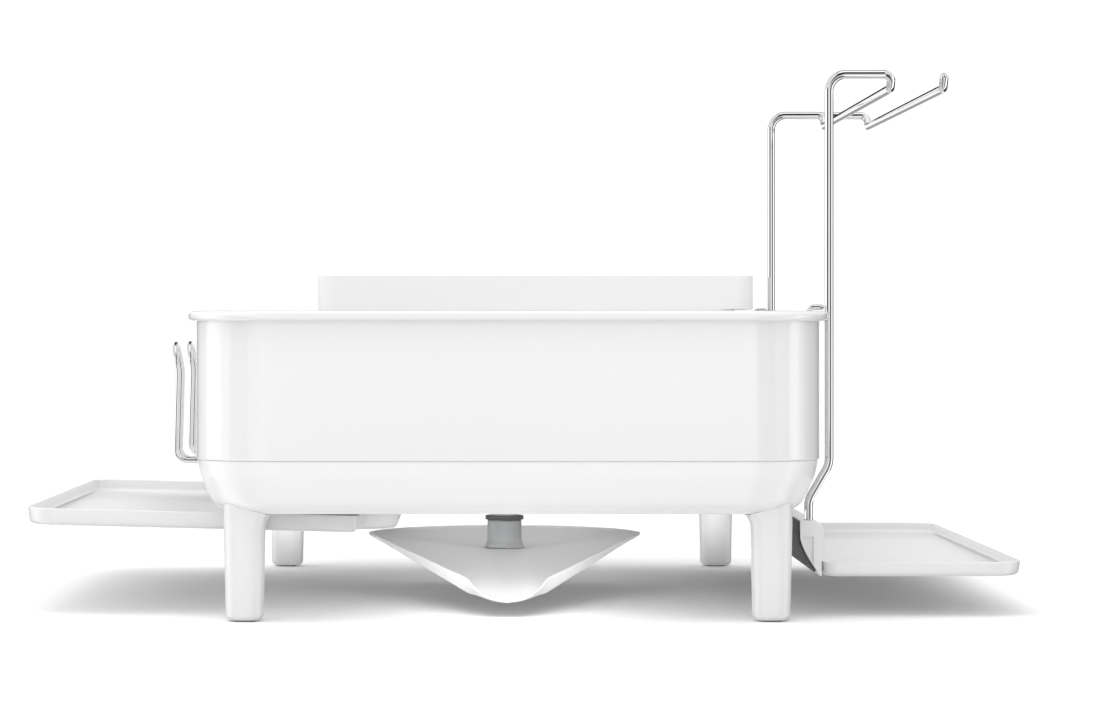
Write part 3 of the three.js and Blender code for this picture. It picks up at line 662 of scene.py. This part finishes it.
def make_drain_fitting():
    low, high = span("drain_fitting")
    bore, tube_r, flange_r = 6.8, 8.6, high.x
    flange_z = high.z - 1.4
    profile = filleted([
        (bore, low.z, 0.3), (tube_r, low.z, 0.3), (tube_r, flange_z, 0.2),
        (flange_r, flange_z, 0.3), (flange_r, high.z, 0.8), (bore, high.z, 0.5),
    ], closed=True, steps=3)
    bar_z, bar_end, bar_r = flange_z - 2, bore + 0.5, 0.6
    bars = [
        tube([Vector((-bar_end, y, bar_z)), Vector((bar_end, y, bar_z))], bar_r, 8) for y in (-3.2, 0, 3.2)
    ]
    piece = mesh_object("drain_tube", merged(lathe(profile), *bars))
    finish_piece(piece, "base", GREY_PLASTIC, ["drain_fitting"])


def make_drain_nut():
    low, high = span("drain_nut")
    corner_r = high.y
    turns = [math.radians(60 * k) for k in range(6)]
    hexagon = [(corner_r * math.sin(turn), corner_r * math.cos(turn)) for turn in turns]
    piece = mesh_object("drain_ring_nut", prism(hexagon[::-1], low.z, high.z))
    combine(piece, "DIFFERENCE", [hole_tool(DRAIN_HOLE_R, low_z=40, high_z=70)])
    round_edges(piece, 0.5, 2)
    finish_piece(piece, "base", WHITE_PLASTIC, ["drain_nut"], even=True)


def make_spout_seal():
    """Ring with a groove round its middle."""
    low, high = span("spout_seal")
    outer = high.x
    middle = (low.z + high.z) / 2
    ring = filleted([
        (DRAIN_HOLE_R, low.z, 0.3), (outer, low.z, 0.5),
        (outer, middle - 0.4, 0.2), (outer - 0.5, middle, 0.2), (outer, middle + 0.4, 0.2),
        (outer, high.z, 0.5), (DRAIN_HOLE_R, high.z, 0.3),
    ], closed=True, steps=3)
    piece = mesh_object("spout_bearing_ring", lathe(ring))
    finish_piece(piece, "base", DARK_RUBBER, ["spout_seal"])


make_drain_fitting()
make_drain_nut()
make_spout_seal()

# ---- Guides of the cup tray ----


def make_tray_guide(label, sign_y):
    """Angle clip under the tub, with a foot that carries the tray's edge."""
    low, high = span(f"tray_guide_{label}")
    web, foot_z = 2.4, 47.8
    inner, outer = (high.y, low.y) if sign_y < 0 else (low.y, high.y)
    edge = outer - sign_y * web
    outline = [
        (inner, low.z), (inner, foot_z), (edge, foot_z), (edge, high.z), (outer, high.z), (outer, low.z),
    ]
    rings = [[(x, y, z) for y, z in outline] for x in (low.x, high.x)]
    piece = mesh_object(f"guide_{label}_clip", loft(rings))
    round_edges(piece, 0.5, 2)
    finish_piece(piece, "base", WHITE_PLASTIC, [f"tray_guide_{label}"], even=True)


for end, end_sign in ENDS:
    make_tray_guide(end, end_sign)

# ---- Cup hooks ----

HOOK_COUNT = 4
HOOK_WIRE_R = 1.45
HOOK_FOOT = 18.8
HOOK_LEAN = 1.4
HOOK_KNEE = 51
HOOK_BENDS = [6.5, 20, 12]


def make_cup_hook(number):
    """Hairpin of wire, with both feet in the tub's wall and its loop at the top."""
    low, high = span(f"cup_hook_{number}")
    y = (low.y + high.y) / 2
    half = (high.y - low.y) / 2 - HOOK_WIRE_R
    foot_x, foot_z = high.x, low.z + HOOK_WIRE_R
    stand_x = foot_x - HOOK_FOOT
    top_x, top_z = low.x + HOOK_WIRE_R + 2.2, high.z - HOOK_WIRE_R

    def leg(leg_y):
        return [
            (foot_x, leg_y, foot_z), (stand_x, leg_y, foot_z),
            (stand_x + HOOK_LEAN, leg_y, foot_z + HOOK_KNEE), (top_x, leg_y, top_z),
        ]

    path = bent_path(leg(y - half) + leg(y + half)[::-1], HOOK_BENDS + HOOK_BENDS[::-1])
    piece = mesh_object(f"cup_hook_{number}_wire", tube(path, HOOK_WIRE_R))
    finish_piece(piece, "base", CHROME, [f"cup_hook_{number}"])


for hook_number in range(1, HOOK_COUNT + 1):
    make_cup_hook(hook_number)

# ---- Swivel spout ----

dish_low, dish_high = span("spout_dish")
SPOUT_SHELL = 1.8
SPOUT_EDGE = 1.2
SPOUT_R = dish_high.x
SPOUT_REACH = -dish_low.y
SPOUT_BACK_Z = dish_high.z
SPOUT_CENTRE_Z = SPOUT_BACK_Z - 9.4
SPOUT_LIP_Z = dish_low.z + SPOUT_SHELL


def spout_rim():
    """Half of the rim from the lip to the back, as (x, y, rim height, height of the wall's foot)."""
    neck_x, neck_y, neck_z, neck_wall = 23.0, -180.0, 20.6, 6
    side_steps, back_steps = 7, 9
    lip = [
        (x, -SPOUT_REACH + (x / neck_x) ** 3 * (neck_y + SPOUT_REACH), rim_z, foot_z)
        for x, rim_z, foot_z in (
            (0, SPOUT_LIP_Z + 0.1, SPOUT_LIP_Z), (8, 10.7, 10.2), (14, 13, 11.8), (19, 16.4, 13),
        )
    ]
    sides = []
    for k in range(side_steps + 1):
        t = k / side_steps
        rim_z = neck_z + (SPOUT_BACK_Z - neck_z) * t
        foot_z = rim_z - neck_wall * (1 - t) - SPOUT_EDGE
        sides.append((neck_x + (SPOUT_R - neck_x) * t, neck_y * (1 - t), rim_z, foot_z))
    back = [
        (SPOUT_R * math.cos(a), SPOUT_R * math.sin(a), SPOUT_BACK_Z, SPOUT_BACK_Z - SPOUT_EDGE)
        for a in (math.pi / 2 * k / back_steps for k in range(1, back_steps + 1))
    ]
    return smooth_through(lip + sides + back, 5)


def make_spout_dish():
    half = spout_rim()
    rim = half + [(-x, y, rim_z, foot_z) for x, y, rim_z, foot_z in half[-2:0:-1]]
    # Shares of the rim's size: where the wall starts, and the middle that the stem stands on.
    wall_share, hub_share = 0.965, 0.17

    def floor_ring(share, drop):
        blend = max(0.0, (share - hub_share) / (1 - hub_share))
        soft = blend ** 1.08
        scale = wall_share * share
        return [
            (x * scale, y * scale, SPOUT_CENTRE_Z + (foot_z - SPOUT_CENTRE_Z) * soft - drop)
            for x, y, _, foot_z in rim
        ]

    def wall_ring(rise, out, drop):
        """Ring at a share of the wall's height and of its lean outwards, lowered by a drop."""
        scale = wall_share + (1 - wall_share) * out
        return [
            (x * scale, y * scale, foot_z + (rim_z - foot_z) * rise - drop) for x, y, rim_z, foot_z in rim
        ]

    shares = [hub_share, 0.25, 0.35, 0.45, 0.55, 0.65, 0.75, 0.85, 0.93]
    under = [floor_ring(share, SPOUT_SHELL) for share in shares]
    under += [wall_ring(0.0, 0.05, 1.7), wall_ring(0.35, 0.5, 1.5), wall_ring(0.8, 0.93, 1.2)]
    edge = [wall_ring(1.0, out, drop) for out, drop in ((1.0, 0.9), (1.0, 0.25), (0.97, 0.0), (0.8, 0.1))]
    top = [wall_ring(0.5, 0.4, 0), wall_ring(0.12, 0.05, 0)]
    top += [floor_ring(share, 0) for share in reversed(shares)]
    piece = mesh_object("spout_leaf", loft(under + edge + top))
    finish_piece(piece, "spout", SPOUT_PLASTIC, ["spout_dish"], sharp=50)


make_spout_dish()


def make_spout_stem():
    low, high = span("spout_stem")
    bore, outer, foot_r = 9.0, 10.6, 13.2
    profile = filleted([
        (bore, low.z, 0), (foot_r, low.z, 0.2), (11.7, low.z + 1.0, 2.0), (outer, low.z + 4.2, 4.0),
        (outer, high.z, 0.5), (bore, high.z, 0.3),
    ], closed=True, steps=5)
    piece = mesh_object("spout_stem_sleeve", lathe(profile, 64))
    # The water leaves through a window at the back.
    window = prism(rounded_rect(-6, 6, 4, 16, 0.5, 3), low.z - 5, low.z + 9)
    combine(piece, "DIFFERENCE", [window])
    finish_piece(piece, "spout", GREY_PLASTIC, ["spout_stem"])


make_spout_stem()

# ---- Slide-out cup tray ----

slide_axis = Vector(next(j for j in frame["joints"] if j["name"] == "cup_tray_slide")["axis"])
CUP_TRAY_SLOPE = math.atan2(-slide_axis.z, slide_axis.x)
cup_tray_low, cup_tray_high = span("cup_tray")
CUP_TRAY_DEPTH = 9.7
CUP_TRAY_LENGTH = 212.5


def tray_section(depth, outside_r, inside_r):
    """(inset, height) outline through a tray's wall, from its underside to the edge of its floor."""
    wall, floor_z = 1.8, 2.6
    return filleted([
        (9, 0, 0), (1.2, 0, outside_r), (0, depth, 0.7),
        (wall, depth, 0.6), (2.8, floor_z, inside_r), (12, floor_z, 0),
    ], steps=6)


def cup_tray_outline(inset):
    """Outline measured from the tray's left edge, moved inwards. The slot clears the drain."""
    inner = CUP_TRAY_LENGTH
    shoulder = inner - 22
    half_y = cup_tray_high.y
    slot_x, slot_half, mouth_r = 172.5, 15 + inset, 3
    outer_r, shoulder_r = 20, 5
    # Each side of the inner end runs from the shoulder through a hollow bend into a round one.
    bend_angle = 60
    bend_sum = (inner - shoulder) / (1 - math.cos(math.radians(bend_angle)))
    hollow_r, hollow_y = 18, 166
    round_r = bend_sum - hollow_r
    round_y = hollow_y - bend_sum * math.sin(math.radians(bend_angle))
    points = []

    def arc(centre_x, centre_y, radius, start, end, steps):
        for k in range(steps + 1):
            angle = math.radians(start + (end - start) * k / steps)
            points.append((centre_x + radius * math.cos(angle), centre_y + radius * math.sin(angle)))

    def corner(sign_x, edge_x, edge_y, radius, start):
        radius = max(0.3, radius - inset)
        sign_y = math.copysign(1, edge_y)
        x = edge_x + sign_x * (inset + radius)
        y = edge_y - sign_y * (inset + radius)
        arc(x, y, radius, start, start + 90, 8)

    corner(1, 0, -half_y, outer_r, 180)
    corner(-1, shoulder, -half_y, shoulder_r, 270)
    arc(shoulder + hollow_r, -hollow_y, hollow_r + inset, 180, 180 - bend_angle, 10)
    arc(inner - round_r, -round_y, round_r - inset, -bend_angle, 0, 12)
    arc(inner - inset - mouth_r, -slot_half - mouth_r, mouth_r, 0, 90, 4)
    arc(slot_x, 0, slot_half, 270, 90, 20)
    arc(inner - inset - mouth_r, slot_half + mouth_r, mouth_r, 270, 360, 4)
    arc(inner - round_r, round_y, round_r - inset, 0, bend_angle, 12)
    arc(shoulder + hollow_r, hollow_y, hollow_r + inset, 180 + bend_angle, 180, 10)
    corner(-1, shoulder, half_y, shoulder_r, 0)
    corner(1, 0, half_y, outer_r, 90)
    return points


def make_cup_tray():
    cos_slope, sin_slope = math.cos(CUP_TRAY_SLOPE), math.sin(CUP_TRAY_SLOPE)
    left_z = cup_tray_high.z - CUP_TRAY_DEPTH * cos_slope
    rings = []
    for inset, z in tray_section(CUP_TRAY_DEPTH, 3.4, 2.6):
        rings.append([
            (cup_tray_low.x + x * cos_slope + z * sin_slope, y, left_z - x * sin_slope + z * cos_slope)
            for x, y in cup_tray_outline(inset)
        ])
    piece = mesh_object("cup_tray_moulding", loft(rings))
    finish_piece(piece, "cup_tray", DIMMED_WHITE_PLASTIC, ["cup_tray"])


make_cup_tray()

# ---- Wine glass rack ----

ROD_R = 2.5
loop_low, loop_high = span("glass_rack_loop")
rail_high = span("glass_rack_outer_rail")[1]
hub_low, hub_high = span("tray_hub")
glass_tray_low, glass_tray_high = span("glass_tray")
HUB_ROD_X = 170.8
HUB_HALF_Y = glass_tray_high.y
POST_X = 182.5
ARM_Z = loop_high.z - ROD_R
RAIL_Z = ARM_Z - 7.5
# The CAD rods have flat sides, so their boxes lie this far from their middles.
POST_Y = loop_high.y - 2.31
RAIL_A_X = loop_high.x - 2.5
RAIL_B_X = rail_high.x - 2.4


def loop_half(sign):
    """Corners of half the loop: from the hub up past the rim, out along an arm and down to the rail."""
    y = sign * POST_Y
    jog_low_z, jog_high_z = 66, 86
    return [
        (HUB_ROD_X, y, loop_low.z), (HUB_ROD_X, y, jog_low_z), (POST_X, y, jog_high_z), (POST_X, y, ARM_Z),
        (RAIL_A_X, y, ARM_Z), (RAIL_A_X, sign * (POST_Y - 5), RAIL_Z),
    ]


def make_rack_loop():
    bends = [14, 14, 9.5, 4.5, 4.5]
    path = bent_path(loop_half(-1) + loop_half(1)[::-1], bends + bends[::-1])
    piece = mesh_object("glass_rack_rod", tube(path, ROD_R, 24))
    finish_piece(piece, "glass_rack", CHROME, ["glass_rack_loop"])


def make_outer_rail():
    """Second rod: laid along the rear arm, bent down into the rail and turned up at its tip."""
    lap_x, lap_y = 198, POST_Y + 2 * ROD_R + GAP
    path = bent_path([
        (lap_x, lap_y, ARM_Z), (RAIL_B_X, lap_y, ARM_Z), (RAIL_B_X, lap_y - 6, RAIL_Z),
        (RAIL_B_X, -POST_Y + 5, RAIL_Z), (RAIL_B_X, -POST_Y, ARM_Z + 0.5),
    ], 4.5)
    piece = mesh_object("glass_rack_second_rod", tube(path, ROD_R, 24))
    finish_piece(piece, "glass_rack", CHROME, ["glass_rack_outer_rail"])


def make_rim_hook(label, sign):
    """Wire from a post over the rim and down inside it."""
    y = sign * POST_Y
    over_z, tip_z = RIM_TOP_Z + 2.2, 165.5
    inside_x, bend_r, wire_r = 171.4, 2.6, 1.5
    corners = [(POST_X - ROD_R - GAP, y, over_z), (inside_x, y, over_z), (inside_x, y, tip_z)]
    piece = mesh_object(f"rim_hook_{label}_wire", tube(bent_path(corners, bend_r), wire_r))
    finish_piece(piece, "glass_rack", CHROME, [f"rim_hook_{label}"])


make_rack_loop()
make_outer_rail()
for end, end_sign in ENDS:
    make_rim_hook(end, end_sign)

HUB_BACK = [(165.2, 54.6), (165.2, 44.5), (166.9, 39.4), (169.6, 34.1), (172.8, 28.8), (176.4, 23.6)]


def hub_outline():
    """End profile of the hub: flat top, rounded shoulder, back that curves in underneath."""
    back = smooth_through(HUB_BACK[1:], 5)
    front = filleted([
        (176.4, 23.6, 0), (176.7, 23.2, 0.2), (177.6, 23.2, 0.3), (177.6, 31.8, 0.2), (178.9, 31.8, 0.5),
        (178.9, 54.6, 6.2), (165.2, 54.6, 0.8), (165.2, 44.5, 0),
    ], steps=8)
    return (back + front[1:-1])[::-1]


def make_hub_beam():
    front_y, rear_y = hub_low.y, hub_high.y
    piece = mesh_object("hub_beam", bar_along_y(hub_outline(), [
        (front_y, 0.5), (front_y + 0.5, 0), (rear_y - 0.5, 0), (rear_y, 0.5),
    ]))
    combine(piece, "DIFFERENCE", [
        hole_tool(ROD_R + GAP, low_z=45, high_z=60, x=HUB_ROD_X, y=sign * POST_Y, steps=24)
        for _, sign in ENDS
    ])
    finish_piece(piece, "glass_rack", DIMMED_WHITE_PLASTIC, ["tray_hub"], even=True)


def make_hub_cap(label, sign):
    """End plate with a pocket in its outer face."""
    thickness, pocket_depth = 2.2, 1.5
    top_z, low_z, right_x = 45.5, 30.6, 173.0
    inner, outer = sign * (HUB_HALF_Y - thickness), sign * HUB_HALF_Y
    stations = [(inner, 0), (outer - sign * 0.5, 0), (outer, 0.45)]
    piece = mesh_object(f"hub_end_{label}", bar_along_y(hub_outline(), stations))
    back = [(x + 1.2, z) for x, z in smooth_through(HUB_BACK[1:-1], 4) if 31 < z < 45.4]
    pocket = [(166.4, top_z), *back, (right_x, low_z), (right_x, top_z)]
    combine(piece, "DIFFERENCE", [slab(pocket, outer - sign * pocket_depth, outer + sign * 3)])
    finish_piece(piece, "glass_rack", DIMMED_WHITE_PLASTIC, [f"hub_cap_{label}"], 30, even=True)


make_hub_beam()
for end, end_sign in ENDS:
    make_hub_cap(end, end_sign)


# The plate on the hub's back is painted shade: a dark sheet over the face that lies in shadow.
def make_hub_plate():
    thickness = 1.2
    back = smooth_through([*HUB_BACK[:-1], (174.6, 26.2)], 5)

    def offset(distance):
        points = []
        for i, (x, z) in enumerate(back):
            x0, z0 = back[max(0, i - 1)]
            x1, z1 = back[min(len(back) - 1, i + 1)]
            along = Vector((x1 - x0, z1 - z0)).normalized()
            points.append((x + along.y * distance, z - along.x * distance))
        return points

    outline = offset(GAP) + offset(GAP + thickness)[::-1]
    piece = mesh_object("hub_shade_plate", slab(outline, -HUB_HALF_Y, HUB_HALF_Y))
    round_edges(piece, 0.3, 2, 50)
    finish_piece(piece, "glass_rack", PAINTED_SHADE_DARK, ["hub_back_plate"], even=True)


make_hub_plate()


def make_glass_tray():
    low, high = glass_tray_low, glass_tray_high
    outer_r, hub_side_r = 20, 9
    rings = []
    for inset, rise in tray_section(high.z - low.z, 3.2, 2.4):
        corner = outer_r - inset
        hub_side = max(0.4, hub_side_r - inset)
        radii = [corner, corner, hub_side, hub_side]
        outline = rounded_rect(low.x + inset, high.x - inset, low.y + inset, high.y - inset, radii, 12)
        rings.append(at_height(outline, low.z + rise))
    piece = mesh_object("glass_tray_moulding", loft(rings))
    finish_piece(piece, "glass_rack", DIMMED_WHITE_PLASTIC, ["glass_tray"])


make_glass_tray()

# ---- Utensil caddy ----

CADDY_WALL = 2.5
CADDY_CORNER_R = 12.0
CADDY_COMPARTMENTS = 3
CADDY_STEPS = 10


def caddy_compartment(low, left, right, back_y, rear_right_r, top_z):
    """Cutting tools for one compartment and the three drain slots in its floor."""
    corner = CADDY_CORNER_R - CADDY_WALL
    radii = [corner, rear_right_r, corner, corner]
    outline = rounded_rect(left, right, low.y + CADDY_WALL, back_y - CADDY_WALL, radii, CADDY_STEPS)
    tools = [prism(outline, low.z + CADDY_WALL, top_z)]
    slot_half, slot_pitch, slot_front, slot_back = 2.5, 22, 185, 215
    for k in (-1, 0, 1):
        x = (left + right) / 2 + k * slot_pitch
        slot = rounded_rect(x - slot_half, x + slot_half, slot_front, slot_back, 2.4, 4)
        tools.append(prism(slot, low.z - 5, low.z + 5))
    return tools


def make_caddy():
    """Box with a wider collar that hangs on the rear rim by two tabs."""
    low, high = span("utensil_caddy")
    wall, corner = CADDY_WALL, CADDY_CORNER_R
    collar_z = high.z - 22.3
    body_right, body_back, collar_back = 156.0, 240.0, 244.0
    tab_width = 34
    box = rounded_rect(low.x, body_right, low.y, body_back, [corner, 25, corner, corner], CADDY_STEPS)
    piece = mesh_object("caddy", prism(box, low.z, collar_z + 1))
    collar = rounded_rect(low.x, high.x, low.y, collar_back, corner, CADDY_STEPS)
    tabs = [rounded_rect(x, x + tab_width, collar_back - 3, high.y, 1.5, 3) for x in (-95, 60)]
    combine(piece, "UNION", [
        prism(collar, collar_z, high.z), *(prism(tab, RIM_TOP_Z + 0.6, collar_z + 2) for tab in tabs),
    ])
    mouth = rounded_rect(
        low.x + wall, high.x - wall, low.y + wall, collar_back - wall, corner - wall, CADDY_STEPS,
    )
    tools = [prism(mouth, collar_z + 6, high.z + 5)]
    pitch = (body_right - low.x - wall) / CADDY_COMPARTMENTS
    for i in range(CADDY_COMPARTMENTS):
        left = low.x + wall + i * pitch
        rear_right_r = 22 if i == CADDY_COMPARTMENTS - 1 else corner - wall
        tools += caddy_compartment(low, left, left + pitch - wall, body_back, rear_right_r, collar_z + 8)
    combine(piece, "DIFFERENCE", tools)
    round_edges(piece, 0.7, 2, 40)
    finish_piece(piece, "caddy", MATTE_PLASTIC, ["utensil_caddy"], even=True)


make_caddy()

# ---- Wire dish rack ----

WIRE_R = 1.75
DIVIDER_COUNT = 13


def make_grid():
    """Rim of thick rod, a cross wire under each divider and two long wires under those."""
    low, high = span("dish_rack_grid")
    z = (low.z + high.z) / 2
    rim_inset, rim_corner_r = ROD_R - 0.2, 27
    half_x = high.x - rim_inset
    front, back = low.y + rim_inset, high.y - rim_inset
    rim = [Vector((x, y, z)) for x, y in rounded_rect(-half_x, half_x, front, back, rim_corner_r, 12)]
    parts = [tube(rim, ROD_R, 16, closed=True)]
    for number in range(1, DIVIDER_COUNT + 1):
        divider_low, divider_high = span(f"plate_divider_{number}")
        y = (divider_low.y + divider_high.y) / 2
        parts.append(tube([Vector((-half_x, y, z)), Vector((half_x, y, z))], WIRE_R, 14))
    for x in (-55, 60):
        parts.append(tube([Vector((x, front, z - 1)), Vector((x, back, z - 1))], WIRE_R, 14))
    piece = mesh_object("dish_rack_wires", merged(*parts))
    finish_piece(piece, "dish_rack", CHROME, ["dish_rack_grid"])


def make_divider(number):
    low, high = span(f"plate_divider_{number}")
    y = (low.y + high.y) / 2
    left, right = -82.0, -28.0
    top = high.z - WIRE_R + 0.05
    path = bent_path([(left, y, low.z), (left, y, top), (right, y, top), (right, y, low.z)], 14)
    piece = mesh_object(f"divider_{number}_wire", tube(path, WIRE_R, 14))
    finish_piece(piece, "dish_rack", CHROME, [f"plate_divider_{number}"])


make_grid()
for divider_number in range(1, DIVIDER_COUNT + 1):
    make_divider(divider_number)

# ---- Floor, light and reflections ----


def floor_material():
    """Pale floor that the camera sees a little brighter, and that reflections look through to the sky."""
    material = bpy.data.materials.new("floor")
    material.use_nodes = True
    tree = material.node_tree
    shader = tree.nodes["Principled BSDF"]
    shader.inputs["Roughness"].default_value = 0.7
    shader.inputs["Specular IOR Level"].default_value = 0.0
    shader.inputs["Emission Color"].default_value = grey(1.0)
    ray = new_node(tree, "ShaderNodeLightPath")
    seen = ray.outputs["Is Camera Ray"]
    tree.links.new(colour_mix(tree, seen, grey(0.76), grey(0.97)), shader.inputs["Base Color"])
    tree.links.new(map_range(tree, seen, (0.0, 1.0), (0.0, 0.04)), shader.inputs["Emission Strength"])
    clear = new_node(tree, "ShaderNodeBsdfTransparent")
    both = shader_mix(tree, ray.outputs["Is Glossy Ray"], shader, clear)
    tree.links.new(both.outputs[0], tree.nodes["Material Output"].inputs["Surface"])
    return material


def make_floor():
    half_m = 30
    corners = [(-half_m, -half_m, 0), (half_m, -half_m, 0), (half_m, half_m, 0), (-half_m, half_m, 0)]
    mesh = bpy.data.meshes.new("floor")
    mesh.from_pydata(corners, [], [(0, 1, 2, 3)])
    mesh.materials.append(floor_material())
    panel = bpy.data.objects.new("floor", mesh)
    bpy.context.collection.objects.link(panel)


def card_over(tree, split, sky, across, up, brightness):
    """The sky with a flat card over it, both in front of the rack and behind it.

    Across and up are the middle and half size of the card's direction along X and Z."""
    inside = 1.0
    for axis, (middle, half) in (("X", across), ("Z", up)):
        within = maths(tree, "COMPARE", split.outputs[axis], middle, half)
        inside = maths(tree, "MULTIPLY", inside, within)
    return colour_mix(tree, inside, sky, grey(brightness))


# Degrees round the rack from straight behind it (left is negative) and the sky's brightness there.
SKY_AROUND = (
    (-180, 0.5), (-168, 0.5), (-163, 0.33), (-150, 0.33), (-146, 0.03), (-119, 0.03), (-115, 0.45),
    (-101, 0.5), (-96, 0.95), (-70, 0.95), (-64, 0.3), (-34, 0.2), (-30, 0.03), (-22, 0.03), (-18, 0.5),
    (18, 0.5), (22, 0.03), (74, 0.03), (80, 0.3), (90, 0.45), (94, 0.95), (108, 0.95), (112, 0.3),
    (134, 0.3), (138, 0.04), (163, 0.04), (167, 0.55), (180, 0.55),
)
SKY_STRENGTH = 2.2


def reflected_sky(tree, direction):
    """What reflections see: soft boxes to the sides and overhead, with dark gaps between."""
    split = new_node(tree, "ShaderNodeSeparateXYZ", Vector=direction)
    turn = maths(tree, "ARCTAN2", split.outputs["X"], split.outputs["Y"])
    place = map_range(tree, turn, (-math.pi, math.pi))
    sides = ramp(tree, place, [((degrees + 180) / 360, brightness) for degrees, brightness in SKY_AROUND])
    # The ramps up the sky go by the sine of the height above the horizon.
    height = ramp(tree, split.outputs["Z"], [(0.0, 0.0), (0.17, 0.0), (0.2, 1.0)])
    gap = ramp(tree, split.outputs["Z"], [(0.2, 0.02), (0.86, 0.02), (0.92, 0.6), (1.0, 0.6)])
    beside = map_range(tree, maths(tree, "ABSOLUTE", split.outputs["X"]), (0.22, 0.3))
    overhead = colour_mix(tree, beside, gap, grey(0.4))
    sky = colour_mix(tree, height, sides, overhead)
    # A dark card just above the horizon and a grey one just below it shade the rails.
    sky = card_over(tree, split, sky, across=(0.0, 0.09), up=(0.2, 0.115), brightness=0.01)
    return card_over(tree, split, sky, across=(0.06, 0.13), up=(-0.12, 0.09), brightness=0.17)


def soft_strength(tree, direction):
    """Strength of the light that falls on rough surfaces: more from the left and from low in front."""
    split = new_node(tree, "ShaderNodeSeparateXYZ", Vector=direction)
    wash = map_range(tree, split.outputs["X"], (-1.0, 1.0), (1.3, 0.74))
    # The light from behind the camera is strongest near the horizon, so that it reaches in under the tub.
    front = map_range(tree, split.outputs["Y"], (-0.3, -1.0))
    low = map_range(tree, split.outputs["Z"], (0.0, 0.35), (0.9, 0.0))
    return maths(tree, "MULTIPLY_ADD", front, low, wash)


def make_world():
    world = bpy.data.worlds.new("studio")
    world.use_nodes = True
    tree = world.node_tree
    ray = new_node(tree, "ShaderNodeLightPath")
    direction = new_node(tree, "ShaderNodeTexCoord").outputs["Generated"]
    white = grey(1.0)
    soft = new_node(tree, "ShaderNodeBackground", Color=white, Strength=soft_strength(tree, direction))
    striped = new_node(
        tree, "ShaderNodeBackground", Color=reflected_sky(tree, direction), Strength=SKY_STRENGTH
    )
    plain = new_node(tree, "ShaderNodeBackground", Color=white, Strength=1.05)
    lit = shader_mix(tree, ray.outputs["Is Glossy Ray"], soft, striped)
    seen = shader_mix(tree, ray.outputs["Is Camera Ray"], lit, plain)
    tree.links.new(seen.outputs[0], tree.nodes["World Output"].inputs["Surface"])
    world.cycles.sampling_method = "NONE"
    bpy.context.scene.world = world


def area_light(name, location, target, size, power, spread=180):
    """Soft light in metres, watts and degrees. Neither the camera nor a reflection sees it."""
    data = bpy.data.lights.new(name, "AREA")
    data.shape = "RECTANGLE"
    data.size, data.size_y = size
    data.spread = math.radians(spread)
    data.energy = power
    light = bpy.data.objects.new(name, data)
    light.location = location
    direction = Vector(target) - Vector(location)
    light.rotation_mode = "QUATERNION"
    light.rotation_quaternion = direction.to_track_quat("-Z", "Y")
    light.visible_camera = False
    light.visible_glossy = False
    bpy.context.collection.objects.link(light)


def make_lights():
    middle = TUB_X_M
    # The two lights over the spout hang just under the tub.
    under_tub = 0.0585
    area_light("key", (-0.35, -0.5, 1.9), (0, 0, 0.1), (1.6, 1.0), 10)
    area_light("over_spout", (middle, -0.03, under_tub), (middle, -0.03, 0), (0.14, 0.3), 0.036)
    area_light("over_lip", (middle, -0.14, under_tub), (middle, -0.14, 0), (0.1, 0.16), 0.11)
    area_light("low_front", (middle, -0.75, 0.03), (middle, 0, 0.03), (0.9, 0.02), 0.003, spread=10)
    area_light("low_spout", (middle, -0.7, 0.01), (middle, 0, 0.01), (0.2, 0.014), 0.02, spread=8)
    for name, side in (("low_left", -1), ("low_right", 1)):
        area_light(
            name, (middle + side * 0.14, -0.2, 0.004), (middle + side * 0.06, -0.09, 0.024),
            (0.16, 0.006), 0.0065, spread=20,
        )
    area_light(
        "low_rear", (middle, 0.115, 0.035), (middle, 0.3, 0.035), (0.34, 0.02), 0.028, spread=40,
    )


make_world()
bpy.context.scene.view_settings.view_transform = "Standard"
make_floor()
make_lights()
